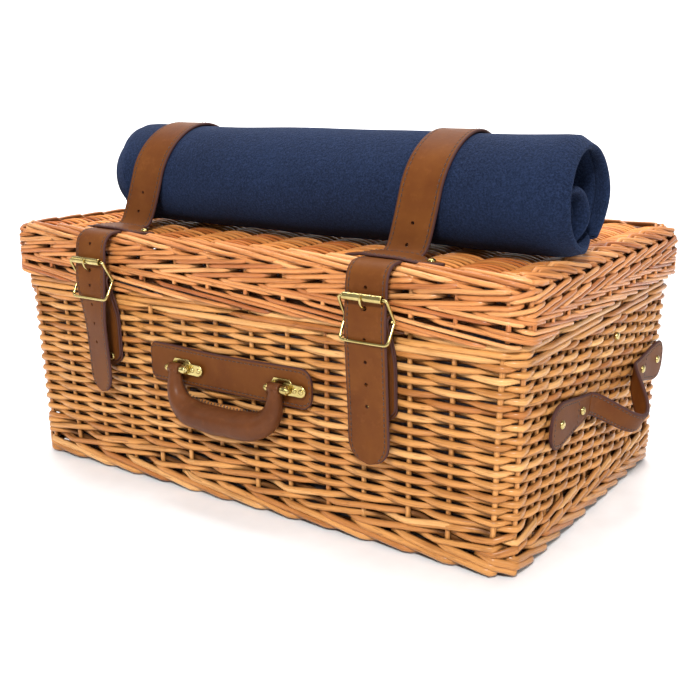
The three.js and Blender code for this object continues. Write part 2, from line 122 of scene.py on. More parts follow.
class Swept:
    """Collects rods and bands swept along paths, in millimetres, into one mesh."""

    def __init__(self, name):
        self.name = name
        self.points, self.quads, self.caps = [], [], []
        self.tone, self.run, self.edge = [], [], []
        self.count = 0

    def rings(self, rings, tone=0.5, closed=False, edge=None):
        """Joins rings of shape (steps, sides, 3) with quads, and caps the ends unless closed."""
        steps, sides, _ = rings.shape
        base = self.count
        index = base + np.arange(steps * sides).reshape(steps, sides)
        if closed:
            index = np.vstack([index, index[:1]])
        nxt = np.roll(index, -1, axis=1)
        quads = np.stack([index[:-1], nxt[:-1], nxt[1:], index[1:]], axis=-1).reshape(-1, 4)
        self.quads.append(quads)
        if not closed:
            self.caps += [index[0][::-1].tolist(), index[-1].tolist()]
        run = np.zeros((steps, sides, 3))
        run[..., 0] = travelled(rings.mean(axis=1))[:, None] * MM
        around = np.arange(sides) / sides * 2 * math.pi
        run[..., 1] = np.cos(around)
        run[..., 2] = np.sin(around)
        self.points.append(rings.reshape(-1, 3))
        self.run.append(run.reshape(-1, 3))
        self.tone.append(np.full(steps * sides, tone))
        self.edge.append(np.broadcast_to(0.0 if edge is None else edge, (steps, sides)).reshape(-1))
        self.count += steps * sides

    def rod(self, path, out, radius, flat=1.0, sides=8, tone=None, closed=False, depth=None):
        """A rod along path. flat is its thickness along out over its width. depth is how far it
        lies outside the stakes' middle line, which sets how much shade is painted on its surface."""
        path, out = np.asarray(path, float), np.asarray(out, float)
        if closed:
            tangent = unit(np.roll(path, -1, axis=0) - np.roll(path, 1, axis=0))
        else:
            tangent = tangents(path)
        out = square_to(out, tangent)
        side = np.cross(tangent, out)
        angle = (np.arange(sides) + 0.5) / sides * 2 * math.pi
        radius = np.broadcast_to(radius, (len(path),))[:, None, None]
        flat = np.broadcast_to(flat, (len(path),))[:, None, None]
        ring = path[:, None] + radius * (
            np.cos(angle)[None, :, None] * out[:, None] * flat
            + np.sin(angle)[None, :, None] * side[:, None])
        # painted shade: rods darken where they lie deep behind the stakes and on their side turned
        # inward, standing in for the shade between rods
        edge = None
        if depth is not None:
            face = np.broadcast_to(depth, (len(path),))[:, None]
            face = face + (radius * flat)[..., 0] * np.cos(angle)[None]
            turned_away = smoothstep(0.8, -0.42, np.cos(angle))[None]
            edge = np.maximum(smoothstep(1.6, -2.6, face), turned_away)
        self.rings(ring, rng.random() if tone is None else tone, closed, edge)

    def build(self, material):
        """Makes the Blender object."""
        points = np.concatenate(self.points) * MM
        quads = np.concatenate(self.quads)
        mesh = bpy.data.meshes.new(self.name)
        mesh.from_pydata(points.tolist(), [], quads.tolist() + self.caps)
        mesh.validate()
        smooth = np.arange(len(mesh.polygons)) < len(quads)
        mesh.polygons.foreach_set("use_smooth", smooth)
        # edge holds where a leather band's edge is, and on rods and the lining's outer side how
        # much shade is painted on
        for name, kind, part, values in (("tone", "FLOAT", "value", self.tone),
                                         ("edge", "FLOAT", "value", self.edge),
                                         ("run", "FLOAT_VECTOR", "vector", self.run)):
            values = np.concatenate(values).astype(np.float32).reshape(-1)
            mesh.attributes.new(name, kind, "POINT").data.foreach_set(part, values)
        mesh.materials.append(material)
        return add_object(self.name, mesh)

    def finish(self, material, body, slot, *nodes):
        piece = self.build(material)
        declare(piece, body, slot, *nodes)
        return piece


# ---- materials ----------------------------------------------------------------------------
class Nodes:
    """A short way to write a node material."""

    def __init__(self, name):
        self.material = bpy.data.materials.new(name)
        self.material.use_nodes = True
        self.tree = self.material.node_tree
        self.shader = self.tree.nodes["Principled BSDF"]

    def put(self, socket, value):
        """Links another node's output to a socket, or sets the socket's value."""
        if isinstance(value, bpy.types.NodeSocket):
            self.tree.links.new(value, socket)
        else:
            socket.default_value = (*value, 1) if socket.type == "RGBA" else value

    def node(self, kind, *values, **inputs):
        """A new node. values go to its sockets in order, inputs to its settings or sockets."""
        made = self.tree.nodes.new(kind)
        for key, value in inputs.items():
            if hasattr(made, key):
                setattr(made, key, value)
            else:
                self.put(made.inputs[key.replace("_", " ")], value)
        for socket, value in zip(made.inputs, values):
            self.put(socket, value)
        return made

    def set(self, **inputs):
        for key, value in inputs.items():
            self.put(self.shader.inputs[key.replace("_", " ")], value)

    def attribute(self, name, output="Fac"):
        return self.node("ShaderNodeAttribute", attribute_name=name).outputs[output]

    def coordinates(self):
        return self.node("ShaderNodeTexCoord").outputs["Object"]

    def math(self, operation, a, b=0.0, c=0.0):
        return self.node("ShaderNodeMath", a, b, c, operation=operation).outputs[0]

    def scaled(self, vector, scale):
        return self.node("ShaderNodeVectorMath", vector, scale, operation="MULTIPLY").outputs[0]

    def plus(self, vector, value):
        """The vector with a number added to each part, such as a rod's own random number."""
        return self.node("ShaderNodeVectorMath", vector, value, operation="ADD").outputs[0]

    def noise(self, vector, scale, detail=3.0, rough=0.55):
        return self.node("ShaderNodeTexNoise", Vector=vector, Scale=scale, Detail=detail,
                         Roughness=rough).outputs["Fac"]

    def ramp(self, value, *stops):
        made = self.node("ShaderNodeValToRGB", value)
        elements = made.color_ramp.elements
        while len(elements) < len(stops):
            elements.new(0.5)
        for element, (place, colour) in zip(elements, stops):
            element.position = place
            element.color = (*colour, 1)
        return made.outputs[0]

    def mask(self, value, low, high):
        """Black where the value is below low, white where it is above high."""
        return self.ramp(value, (low, (0, 0, 0)), (high, (1, 1, 1)))

    def mix(self, factor, a, b, blend="MIX"):
        made = self.node("ShaderNodeMix", data_type="RGBA", blend_type=blend)
        for k, value in ((0, factor), (6, a), (7, b)):
            self.put(made.inputs[k], value)
        return made.outputs[2]

    def bump(self, height, distance, strength=1.0, normal=None):
        made = self.node("ShaderNodeBump", Strength=strength, Distance=distance, Height=height)
        if normal is not None:
            self.put(made.inputs["Normal"], normal)
        return made.outputs[0]


def rgb(red, green, blue):
    """A colour as seen on a screen, from 0 to 255, as linear light."""
    def linear(value):
        value /= 255
        return value / 12.92 if value <= 0.04045 else ((value + 0.055) / 1.055) ** 2.4
    return (linear(red), linear(green), linear(blue))


def willow_material(name, pale, middle, deep, coat=0.32):
    """Varnished willow: each rod has its own tone, with streaks along it and a few buds, and shade
    painted on from its edge attribute.
    """
    n = Nodes(name)
    tone = n.attribute("tone")
    run = n.attribute("run", "Vector")
    own = n.math("MULTIPLY", tone, 40.0)
    vector = n.plus(run, own)
    streak = n.noise(n.scaled(vector, (28, 2.2, 2.2)), 1.0, 4.0, 0.6)
    patch = n.noise(n.scaled(vector, (14, 0.5, 0.5)), 1.0, 2.0)
    grain = n.noise(n.scaled(vector, (60, 9, 9)), 1.0, 3.0)
    bud = n.noise(n.scaled(vector, (90, 1.6, 1.6)), 1.0, 0.0)
    base = n.ramp(tone, (0.0, deep), (0.35, middle), (0.75, middle), (1.0, pale))
    shade = n.ramp(n.math("MULTIPLY_ADD", patch, 0.6, n.math("MULTIPLY", streak, 0.4)),
                   (0.33, (0.58, 0.50, 0.42)), (0.5, (0.98, 0.97, 0.96)),
                   (0.68, (1.20, 1.27, 1.36)))
    colour = n.mix(1.0, base, shade, "MULTIPLY")
    colour = n.mix(n.math("MULTIPLY", n.mask(bud, 0.70, 0.78), 0.45), colour, rgb(104, 58, 24))
    # painted shade: the edge attribute darkens rods towards dark brown where they lie deep or turn
    # inward
    colour = n.mix(n.math("MULTIPLY", n.attribute("edge"), 0.82), colour, rgb(58, 26, 9))
    height = n.math("ADD", n.math("MULTIPLY", streak, 0.6), n.math("MULTIPLY", grain, 0.4))
    rough = n.math("MULTIPLY_ADD", grain, 0.22, 0.26)
    n.set(Base_Color=colour, Roughness=rough, Normal=n.bump(height, 0.0004, 0.7))
    n.set(Coat_Weight=coat, Coat_Roughness=0.2, Specular_IOR_Level=0.4 * coat)
    return n.material


willow = willow_material("willow", rgb(222, 168, 106), rgb(199, 138, 76), rgb(168, 104, 52))
willow_lid = willow_material("willow_lid", rgb(222, 160, 102), rgb(200, 131, 75), rgb(166, 96, 52))
willow_panel = willow_material("willow_panel", rgb(230, 160, 94), rgb(210, 134, 70),
                               rgb(178, 100, 50), 0.1)


# ---- weaving ------------------------------------------------------------------------------
WALL_INSET = 6.1  # how far the stakes' middle line lies inside the wall's face
FRONT_STAKES, SIDE_STAKES = 14, 12
STAKES = 2 * (FRONT_STAKES + SIDE_STAKES)
CORNER_ACROSS, CORNER_DEEP = 12.5, 9.5  # from the corner to the stake beside it


class Ring:
    """The stakes round the basket. A place on the ring is u, counted in stakes from the left
    end of the front, anticlockwise from above. half gives the ring's half sizes at a height."""

    def __init__(self, half, jitter=1.0):
        self.half = half
        rows = []
        across = np.linspace(-1, 1, FRONT_STAKES)
        deep = np.linspace(-1, 1, SIDE_STAKES)
        turn = math.radians(24)
        for sign, fractions, horizontal in ((-1, across, True), (1, deep, False),
                                            (1, across[::-1], True), (-1, deep[::-1], False)):
            for k, f in enumerate(fractions):
                corner = (k == len(fractions) - 1) - (k == 0)
                push = 0 if corner else rng.normal(0, jitter)
                if horizontal:
                    row = [f, -f * CORNER_ACROSS + push, sign, 0.0]
                    facing = math.atan2(sign, 0)
                else:
                    row = [sign, 0.0, f, -f * CORNER_DEEP + push]
                    facing = math.atan2(0, sign)
                facing += corner * turn
                rows.append(row + [math.cos(facing), math.sin(facing)])
        self.rows = np.array(rows)

    def at(self, u, half_width, half_depth):
        """Places on the ring and the directions that point outward there."""
        u = np.asarray(u, float)
        low = np.floor(u).astype(int)
        f = (u - low)[:, None]
        a, b = self.rows[low % STAKES], self.rows[(low + 1) % STAKES]
        row = a * (1 - f) + b * f
        x = row[:, 0] * half_width + row[:, 1]
        y = row[:, 2] * half_depth + row[:, 3]
        return np.stack([x, y], -1), unit(row[:, 4:6])

    def ease(self, u):
        """How far rods swing out at u: less on the sides, where the stakes are closer together,
        and least at the corners."""
        half_ring = FRONT_STAKES + SIDE_STAKES
        along = u % half_ring
        from_corner = np.minimum(np.abs(along - FRONT_STAKES + 0.5),
                                 np.minimum(along + 0.5, half_ring - 0.5 - along))
        on_side = smoothstep(FRONT_STAKES - 1.5, FRONT_STAKES + 0.5, along)
        return (1 - 0.16 * on_side) * (1 - 0.3 * np.exp(-(from_corner / 0.9) ** 2))

    def path(self, u, z, out):
        """Points at u, at height z, pushed outward by out, with the outward directions."""
        z = np.broadcast_to(np.asarray(z, float), np.shape(u))
        width, depth = self.half(z)
        place, normal = self.at(u, width, depth)
        place = place + normal * np.asarray(out)[..., None]
        return np.column_stack([place, z]), np.column_stack([normal, np.zeros(len(u))])

    def lay(self, rods, u, z, out, radius, flat):
        """One willow rod along the ring."""
        path, normal = self.path(u, z, out)
        rods.rod(path, normal, radius, flat, depth=out)


def wall_half(z, inset=0.0):
    """The half sizes of the body's walls at a height, some way inside their faces."""
    return HALF_WIDTH + FLARE * z / RIM_Z - inset, HALF_DEPTH + FLARE * z / RIM_Z - inset


def lid_half(z):
    return LID_HALF_WIDTH - WALL_INSET + 0 * z, LID_HALF_DEPTH - WALL_INSET + 0 * z


body_ring = Ring(lambda z: wall_half(z, WALL_INSET))
lid_ring = Ring(lid_half)


def bend(wave):
    """A wave with steeper flanks and flatter tops, as a bent rod has."""
    return np.sign(wave) * np.abs(wave) ** 0.75


def rand_row(rods, ring, z, parity, push=3.6, radius=2.6, steps=7):
    """One row of rods that pass in front of one stake and behind the next."""
    u = parity + 1 - 2 * rng.integers(0, 6)
    end = u + STAKES
    drift = rng.normal(0, 0.25)
    while u < end:
        span = min(2 * rng.integers(5, 12), end - u)
        if end - u - span < 4:
            span = end - u
        us = np.linspace(u, u + span, int(span * steps) + 1)
        wave = np.cos(math.pi * (us - parity))
        out = push * ring.ease(us) * bend(wave) + wobble(len(us), span / 4, 0.2)
        level = z + drift + wobble(len(us), span / 3, 0.28)
        size = radius * np.linspace(1.06, 0.93, len(us)) * (1 + wobble(len(us), span, 0.03))
        size = size * (1 + 0.16 * wave ** 2)
        ring.lay(rods, us, level, out, size, 0.94 - 0.10 * wave ** 2)
        u += span


def wale(rods, ring, z, rise, radius, push=3.8, steps=7, count=3, pieces=4):
    """A band of rods, each in front of all stakes but one in turn, twisted like a rope."""
    for j in range(count):
        offset = j + rng.integers(0, 8) * count
        cuts = [offset + round(STAKES / pieces / count * k) * count for k in range(pieces)]
        for u0, u1 in zip(cuts, cuts[1:] + [cuts[0] + STAKES]):
            us = np.linspace(u0, u1, int((u1 - u0) * steps) + 1)
            turns = round((u1 - u0) / count)
            t = (us - u0) / (u1 - u0) * turns
            out = push * np.clip(-1.9 * np.cos(2 * math.pi * t) + 0.25, -1, 1)
            level = z - rise * np.sin(2 * math.pi * t) + wobble(len(us), (u1 - u0) / 4, 0.3)
            size = radius * (1 + wobble(len(us), (u1 - u0) / 2, 0.05))
            ring.lay(rods, us, level, out, size, 0.82)


def strands(rods, ring, high, low, span, radius, reach, tuck, start=-0.35, flat=0.85,
            cluster=0.0, sag=0.0):
    """A rod from every stake that runs along the wall to the right, from one height to another,
    and ends behind a stake further on. Its middle lies reach outside the stakes, and its ends
    lie at tuck. Rods gather in threes by cluster, and sag along the front."""
    for i in range(STAKES):
        us = np.linspace(i + start, i + start + span, int(span * 8) + 1)
        t = np.linspace(0, 1, len(us))
        out = reach - (reach - tuck[0]) * (1 - smoothstep(0, 0.16, t))
        out -= (reach - tuck[1]) * smoothstep(0.86, 1, t)
        level = high + (low - high) * t + wobble(len(us), 1.2, 0.4) + rng.normal(0, 0.3)
        level = level + cluster * (i % 3 - 1)
        place = us % STAKES
        on_front = smoothstep(-0.5, 2, place)
        on_front = on_front * (1 - smoothstep(FRONT_STAKES - 1, FRONT_STAKES + 2, place))
        level = level - sag * on_front * t
        size = radius * rng.normal(1, 0.05) * (1 + wobble(len(us), 2, 0.03))
        ring.lay(rods, us, level, out, size, flat)


def long_row(rods, ring, z, first, radius, span=4, push=3.9, rise=0.8):
    """A row of long rods end to end, each over several stakes and thin at its tucked ends."""
    u, last = first, first + STAKES
    while u < last:
        length = min(span + rng.integers(0, 2), last - u)
        us = np.linspace(u - 0.45, u + length + 0.45, int(length * 7) + 6)
        t = np.linspace(0, 1, len(us))
        swell = smoothstep(0, 0.22, t) * (1 - smoothstep(0.78, 1, t))
        out = -3.5 + (push + 3.5) * swell
        level = z + rise * (2 * t - 1) + wobble(len(us), 1.2, 0.3)
        size = radius * (0.72 + 0.28 * swell) * rng.normal(1, 0.03)
        ring.lay(rods, us, level, out, size, 0.85)
        u += length


def stake_rods(rods, ring, low, high, radius=2.35):
    """The upright stakes, from one height to another."""
    for i in range(STAKES):
        zs = np.linspace(low, high, 14)
        us = np.full(len(zs), float(i)) + wobble(len(zs), 1.0, 0.015)
        path, normal = ring.path(us, zs, wobble(len(zs), 1.5, 0.2))
        rods.rod(path, normal, radius * rng.normal(1, 0.04), 1.0, 8, depth=-0.6)


def build_body():
    randing = Swept("body_randing")
    rows, first_row, row_step = 26, 40.5, 5.1
    for k in range(rows):
        rand_row(randing, body_ring, first_row + row_step * k, k % 2)
    randing.finish(willow, "basket", "willow", "wall_front", "wall_back", "wall_left", "wall_right")

    rim = Swept("body_rim")
    for k, level in enumerate((172.6, 178.2, 184.0)):
        long_row(rim, body_ring, level, 1.5 * k, 2.95)
    stake_rods(rim, body_ring, 9, 184)
    rim.finish(willow, "basket", "willow", "rim_border", "corner_post_front_left",
               "corner_post_front_right", "corner_post_back_left", "corner_post_back_right")

    foot = Swept("foot_weave")
    wale(foot, body_ring, 32.5, 3.0, 2.8)
    wale(foot, body_ring, 22.5, 2.6, 2.7)
    strands(foot, body_ring, 17.5, 3.3, 2.7, 3.2, 3.3, (-2, -6))
    foot.finish(willow, "basket", "willow", "foot_border")


def flat_weave(name, material, half_width, half_depth, z, pitch, radius, push):
    """A flat woven panel of thin rods along X over and under rods along Y."""
    stakes, steps = FRONT_STAKES, 22
    rods = Swept(name)
    xs = np.linspace(-1, 1, stakes) * (half_width - 9)
    ys = np.linspace(-half_depth, half_depth, steps)
    for x in xs:
        path = np.column_stack([x + wobble(steps, 1.5, 0.7), ys, z + wobble(steps, 2, 0.2)])
        rods.rod(path, (0, 0, 1), radius * 1.25, depth=-0.8)
    count = int(2 * half_depth / pitch)
    for k in range(count + 1):
        y = -half_depth + 2 * half_depth * k / count
        us = np.linspace(-0.35, stakes - 0.65, stakes * 7)
        x = np.interp(us, [-1, *range(stakes), stakes], [-half_width - 20, *xs, half_width + 20])
        x = np.clip(x, -half_width, half_width)
        wave = np.cos(math.pi * (us - k % 2))
        taper = np.linspace(1.06, 0.9, len(us))[::rng.choice((-1, 1))]
        size = radius * (1 + 0.1 * wave ** 2) * taper
        depth = push * bend(wave)
        path = np.column_stack([x, y + wobble(len(us), stakes / 3, 0.35) + rng.normal(0, 0.25),
                                z + depth + wobble(len(us), stakes / 3, 0.2)])
        rods.rod(path, (0, 0, 1), size, 0.85, 7, depth=depth)
    return rods.build(material)


def build_lid():
    top = flat_weave("lid_weave", willow_panel, 267, 170, 230.5, 4.1, 1.98, 3.5)
    declare(top, "lid", "willow_lid", "lid_panel")

    skirt = Swept("lid_skirt_weave")
    stake_rods(skirt, lid_ring, 189, 230, 2.2)
    # each band of rods, as the numbers that strands takes
    for row in ((217.4, 227.0, 2.4, 2.2, 4.0, (-3.6, -3.6), -0.15, 0.95),
                (207.8, 217.4, 2.4, 2.2, 4.0, (-3.6, -3.6), 0.35, 0.95),
                (208.8, 201.4, 2.8, 1.85, 3.8, (-4, -4), 0.1, 0.95, 0.3),
                (199.6, 189.4, 3.6, 1.9, 3.9, (-4, -4), 0.2, 0.95, 0.6, 4.5)):
        strands(skirt, lid_ring, *row)
    for i in range(STAKES):  # the cut ends of the stakes between the two lower bands
        us = np.full(4, float(i)) + 0.03
        path, normal = lid_ring.path(us, np.array([198.5, 200.0, 203.6, 203.9]), 3.6)
        skirt.rod(path, normal, np.array([1.9, 1.9, 1.9, 1.4]))
    for low_end in (192, 200, 208, 216):  # the inside
        strands(skirt, lid_ring, low_end, low_end + 9, 2.6, 1.75, -3.9, (-3, -3), start=0.9)
    skirt.finish(willow_lid, "lid", "willow_lid", "lid_skirt")

    # a pair of rods from each stake, over the edge and down, then three rods all the way round
    border = Swept("lid_border")
    steps = 22
    t = np.linspace(0, 1, steps)
    for i in range(STAKES):
        on_long_side = (i + 1) % (FRONT_STAKES + SIDE_STAKES) < FRONT_STAKES
        reach = 3.3 if on_long_side else 1.95
        for lane in (0, 1):
            us = np.linspace(i - 0.3 + 0.12 * lane, i - 0.3 + reach - 0.35 * lane, steps)
            out = -12 + 3 * lane * (1 - t) + (17.2 - 1.2 * lane) * t ** 0.8
            level = 237.2 - 1.2 * lane - 8.6 * t ** 1.7 - 4.4 * lane * t
            level = level - 5 * (1 - smoothstep(0, 0.1, t))
            out = out - 6.0 * smoothstep(0.84, 1, t) ** 1.5
            path, normal = lid_ring.path(us, level, out)
            lean = normal * (0.6 + 0.8 * t[:, None]) + np.array([0, 0, 1.0])
            size = 2.2 * rng.normal(1, 0.04) * (1 + wobble(steps, 1, 0.03))
            border.rod(path, lean, size, 0.95, depth=1.5)
    for lane, (out, level) in enumerate(((-9, 231.5), (-5, 230.8), (-0.6, 229.6))):
        us = np.linspace(lane * 0.4, lane * 0.4 + STAKES, STAKES * 5)
        path, normal = lid_ring.path(us, level + wobble(len(us), 30, 0.4), out + 0 * us)
        border.rod(path, normal, 2.3, depth=-0.5)
    border.finish(willow_lid, "lid", "willow_lid")


build_body()
build_lid()


# ---- leather ------------------------------------------------------------------------------
def leather_material(name, light, dark, edge, rough_low):
    """Smooth finished leather: fine pores, soft creases, cloudy tone and painted edges."""
    n = Nodes(name)
    where = n.coordinates()
    cloud = n.noise(where, 26.0, 4.0, 0.6)
    pores = n.node("ShaderNodeTexVoronoi", Vector=where, Scale=1150.0)
    fine = n.noise(where, 900.0, 3.0)
    crease = n.noise(where, 140.0, 4.0, 0.65)
    rim = n.attribute("edge")
    colour = n.ramp(cloud, (0.30, dark), (0.70, light))
    worn = n.math("MULTIPLY", n.mask(crease, 0.56, 0.72), 0.16)
    colour = n.mix(worn, colour, rgb(140, 84, 44))
    crushed = n.ramp(rim, (0.12, (0, 0, 0)), (0.2, (1, 1, 1)), (0.3, (1, 1, 1)), (0.42, (0, 0, 0)))
    colour = n.mix(n.math("MULTIPLY", crushed, 0.5), colour, rgb(70, 40, 24))
    colour = n.mix(n.mask(rim, 0.42, 0.6), colour, edge)
    height = n.math("ADD", n.math("MULTIPLY", pores.outputs["Distance"], 0.5),
                    n.math("MULTIPLY", fine, 0.5))
    normal = n.bump(height, 0.00012, 0.6)
    normal = n.bump(crease, 0.0006, 0.35, normal)
    rough = n.math("ADD", n.math("MULTIPLY", cloud, 0.12),
                   n.math("MULTIPLY_ADD", fine, 0.14, rough_low))
    n.set(Base_Color=colour, Roughness=rough, Normal=normal, Specular_IOR_Level=0.12)
    return n.material


def thread_material():
    n = Nodes("thread")
    run = n.attribute("run", "Vector")
    twist = n.noise(n.scaled(run, (1500, 1.5, 1.5)), 1.0, 2.0)
    colour = n.ramp(twist, (0.35, rgb(30, 17, 10)), (0.65, rgb(58, 34, 20)))
    n.set(Base_Color=colour, Roughness=0.75, Normal=n.bump(twist, 0.0002, 0.6), Sheen_Weight=0.2)
    return n.material


def brass_material():
    """Pale polished brass with faint draw marks and a little tarnish."""
    n = Nodes("brass")
    where = n.coordinates()
    cloud = n.noise(where, 60.0, 3.0)
    marks = n.noise(n.scaled(where, (300, 300, 1800)), 1.0, 2.0)
    colour = n.ramp(cloud, (0.3, rgb(168, 146, 84)), (0.7, rgb(208, 190, 128)))
    spots = n.mask(n.noise(where, 420.0, 2.0), 0.62, 0.75)
    colour = n.mix(n.math("MULTIPLY", spots, 0.35), colour, rgb(120, 92, 46))
    rough = n.math("ADD", n.math("MULTIPLY", marks, 0.10),
                   n.math("MULTIPLY_ADD", cloud, 0.16, 0.10))
    n.set(Base_Color=colour, Roughness=rough, Normal=n.bump(marks, 0.00005, 0.3), Metallic=1.0)
    return n.material


leather = leather_material("leather", rgb(107, 61, 22), rgb(89, 46, 15), rgb(72, 46, 42), 0.42)
grip_leather = leather_material("grip_leather", rgb(100, 58, 32), rgb(80, 44, 23),
                                rgb(66, 40, 30), 0.22)
thread = thread_material()
brass = brass_material()

EDGE_ROUND = np.radians((75, 45, 15, -15, -45, -75))
STITCH_INSET, STITCH_SINK = 3.6, 0.25  # from a band's edge, and below its face


def band_profile(half_width, thick, inset):
    """Half of a band's cross-section, from the middle of its top over the right edge to the
    middle of its bottom, as (across, up, edge)."""
    h = thick / 2
    w = max(half_width, h + 0.05)
    flat = w - h
    line = max(w - inset, flat * 0.5)
    groove = 0.28 if line > flat * 0.55 else 0.0
    top = [(0.0, h, 0), (line * 0.5, h, 0), (max(line - 1.3, line * 0.6), h, 0),
           (line - 0.45, h - 0.02, 0.1), (line, h - groove, 0.25), (line + 0.45, h - 0.02, 0.1),
           (min(line + 1.3, flat), h, 0), (flat, h, 0.3)]
    edge = [(flat + h * math.cos(a), h * math.sin(a), 1) for a in EDGE_ROUND]
    bottom = [(flat, -h, 0.3), (line * 0.6, -h, 0), (0.0, -h, 0)]
    return top + edge + bottom


def band(swept, path, out, half_width, thick, inset=STITCH_INSET):
    """A flat leather band along path, with rounded edges and a groove for each line of
    stitches. out points from its top face."""
    path, out = np.asarray(path, float), np.asarray(out, float)
    tangent = tangents(path)
    out = square_to(out, tangent)
    side = np.cross(tangent, out)
    half_width = np.broadcast_to(half_width, (len(path),))
    thick = np.broadcast_to(thick, (len(path),))
    rings, edges = [], []
    for p, o, s, w, t in zip(path, out, side, half_width, thick):
        half = band_profile(w, t, inset)
        full = half + [(-a, b, e) for a, b, e in half[::-1][1:-1]]
        rings.append([p + s * a + o * b for a, b, e in full])
        edges.append([e for a, b, e in full])
    swept.rings(np.array(rings), 0.5, False, np.array(edges))
    return path, out, side, half_width, thick


def stitch_line(swept, points, out, pitch=4.4, length=3.0, radius=0.48, lift=0.1):
    """Stitches along a line on a leather face, each sunk in at its two ends."""
    gone = travelled(points)
    count = int(gone[-1] / pitch)
    sink = np.array([-0.45, 0.1, 0.22, 0.1, -0.45])[:, None]
    for k in range(count):
        at = gone[-1] * (k + 0.5) / count + np.linspace(-length / 2, length / 2, 5)
        up = resample(at, gone, out)
        swept.rod(resample(at, gone, points) + up * (lift + sink), up, radius, 0.8, 6)


def smooth_path(points, step, rounds):
    """A path through corner points with its corners rounded, at even steps."""
    points = np.asarray(points, float)
    for _ in range(rounds):
        a, b = points[:-1], points[1:]
        cut = np.empty((2 * len(a), points.shape[1]))
        cut[0::2] = a * 0.75 + b * 0.25
        cut[1::2] = a * 0.25 + b * 0.75
        points = np.vstack([points[:1], cut, points[-1:]])
    gone = travelled(points)
    return resample(np.linspace(0, gone[-1], max(int(gone[-1] / step), 2) + 1), gone, points)


def rounded_tip(distance, length, least):
    """How wide a band is near its rounded end, as a share of its full width."""
    from_round = np.clip(1 - distance / length, 0, 1)
    return np.sqrt(np.clip(1 - from_round ** 2.3, least, 1))


def carve(piece, tool):
    """Takes the space of a swept tool out of a piece."""
    cutter = tool.build(piece.data.materials[0])
    change = piece.modifiers.new("carve", "BOOLEAN")
    change.operation, change.object, change.solver = "DIFFERENCE", cutter, "EXACT"
    bpy.context.view_layer.update()
    carved = piece.evaluated_get(bpy.context.evaluated_depsgraph_get())
    made = bpy.data.meshes.new_from_object(carved)
    piece.modifiers.clear()
    old, piece.data = piece.data, made
    bpy.data.meshes.remove(old)
    made.name = piece.name
    made.set_sharp_from_angle(angle=math.radians(50))
    bpy.data.objects.remove(cutter)


def cut_holes(piece, holes):
    """Bores holes, each (place, direction, radius), through a piece."""
    tool = Swept("hole_tool")
    for place, direction, radius in holes:
        path = place + unit(direction) * np.linspace(-6, 6, 3)[:, None]
        tool.rod(path, (1, 0, 0), radius, 1.0, 16)
    carve(piece, tool)


def cut_box(piece, centre, size):
    tool = Swept("box_tool")
    corners = np.array([(-1, -1), (1, -1), (1, 1), (-1, 1)]) * size[:2] / 2
    tool.rings(np.array([[(centre[0] + a, centre[1] + b, centre[2] + h) for a, b in corners]
                         for h in (-size[2] / 2, size[2] / 2)]))
    carve(piece, tool)


SIDES = (("left", -1), ("right", 1))
STRAP_X, STRAP_HALF, STRAP_THICK = 150.0, 19.0, 2.8
SEWN_HALF = 9.0  # a tip narrower than this half width has no stitches
LEAN = {"left": 24.0, "right": 16.0}  # how far each strap leans to the right over the roll
STRAP_REST = LID_TOP + GAP + STRAP_THICK / 2
roll_low, roll_high = (np.array(corner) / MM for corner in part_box("blanket"))
ROLL_Y = (roll_low[1] + roll_high[1]) / 2
ROLL_HALF_Y = (roll_high[1] - roll_low[1]) / 2
ROLL_HALF_Z = (roll_high[2] - roll_low[2]) / 2
ROLL_Z = (roll_low[2] + roll_high[2]) / 2
TAIL_LIFT = {"left": 9.5, "right": 0.0}  # the left strap hangs a little less low
HINGE_END_Z, FRONT_START_Y, TAIL_START_Z = 195, -158, 184  # where the strap's stretches meet
PRONG_HOLE_Z, PRONG_HOLE, HOLE = 203.6, 1.9, 1.55  # the prong's hole, and both kinds' radii
# the heights of the punched holes in each stretch of the straps
HOLES = {"left": {"strap": (270.0, 252.0), "strap_front": (227.5, PRONG_HOLE_Z, 190.5),
                  "strap_tail": (172.5, 154.5, 136.0)},
         "right": {"strap": (262.0, 244.0), "strap_front": (220.0, PRONG_HOLE_Z),
                   "strap_tail": (181.0, 163.0, 145.0, 127.0)}}


def strap_route(side):
    """The strap's whole middle line, from the back wall over the lid and the roll to its tip,
    as (x, y, z). x is how far it leans to the right there."""
    lid_face = LID_HALF_DEPTH + GAP + STRAP_THICK / 2
    points = [(wall_half(z)[1] + GAP + STRAP_THICK / 2, z) for z in (125, 150, 166)]
    points += [(178.6, 174), (180.6, 180), (182.4, 184), (lid_face, 187.5), (lid_face, 195),
               (lid_face, 215), (lid_face, 232.5), (lid_face - 1.2, 236.6),
               (lid_face - 5.4, STRAP_REST), (150, STRAP_REST), (90, STRAP_REST)]
    foot = [(68, 0), (62.5, 0.6), (57.5, 4.2), (54.5, 12.2), (52.5, 26.2)]
    points += [(ROLL_Y + off, STRAP_REST + up) for off, up in foot]
    reach_y, reach_z = ROLL_HALF_Y + GAP + STRAP_THICK / 2, ROLL_HALF_Z + GAP + STRAP_THICK / 2
    for k in range(25):
        angle = math.pi * k / 24
        points.append((ROLL_Y + reach_y * math.cos(angle), ROLL_Z + reach_z * math.sin(angle)))
    lift = TAIL_LIFT[side]
    points += [(ROLL_Y - off, STRAP_REST + up) for off, up in foot[::-1]]
    points += [(-150, STRAP_REST), (-165, STRAP_REST), (-177, 237.9), (-182.5, 236.8),
               (-187, 233.2), (-189.6, 227.5), (-190.5, 220), (-190.7, 213), (-191.3, 206),
               (-191.9, 200), (-192.2, 194), (-192.1, 189), (-192, 184), (-191.4, 178),
               (-190.4, 165), (-188.4, 140), (-186.6, 115), (-185.6 - 0.06 * lift, 95 + lift),
               (-185.0 - 0.06 * lift, 78.2 + lift)]
    route = smooth_path(points, 2.0, 2)
    over = np.clip((route[:, 1] - STRAP_REST) / (2 * ROLL_HALF_Z), 0, 1)
    return np.column_stack([LEAN[side] * over, route])


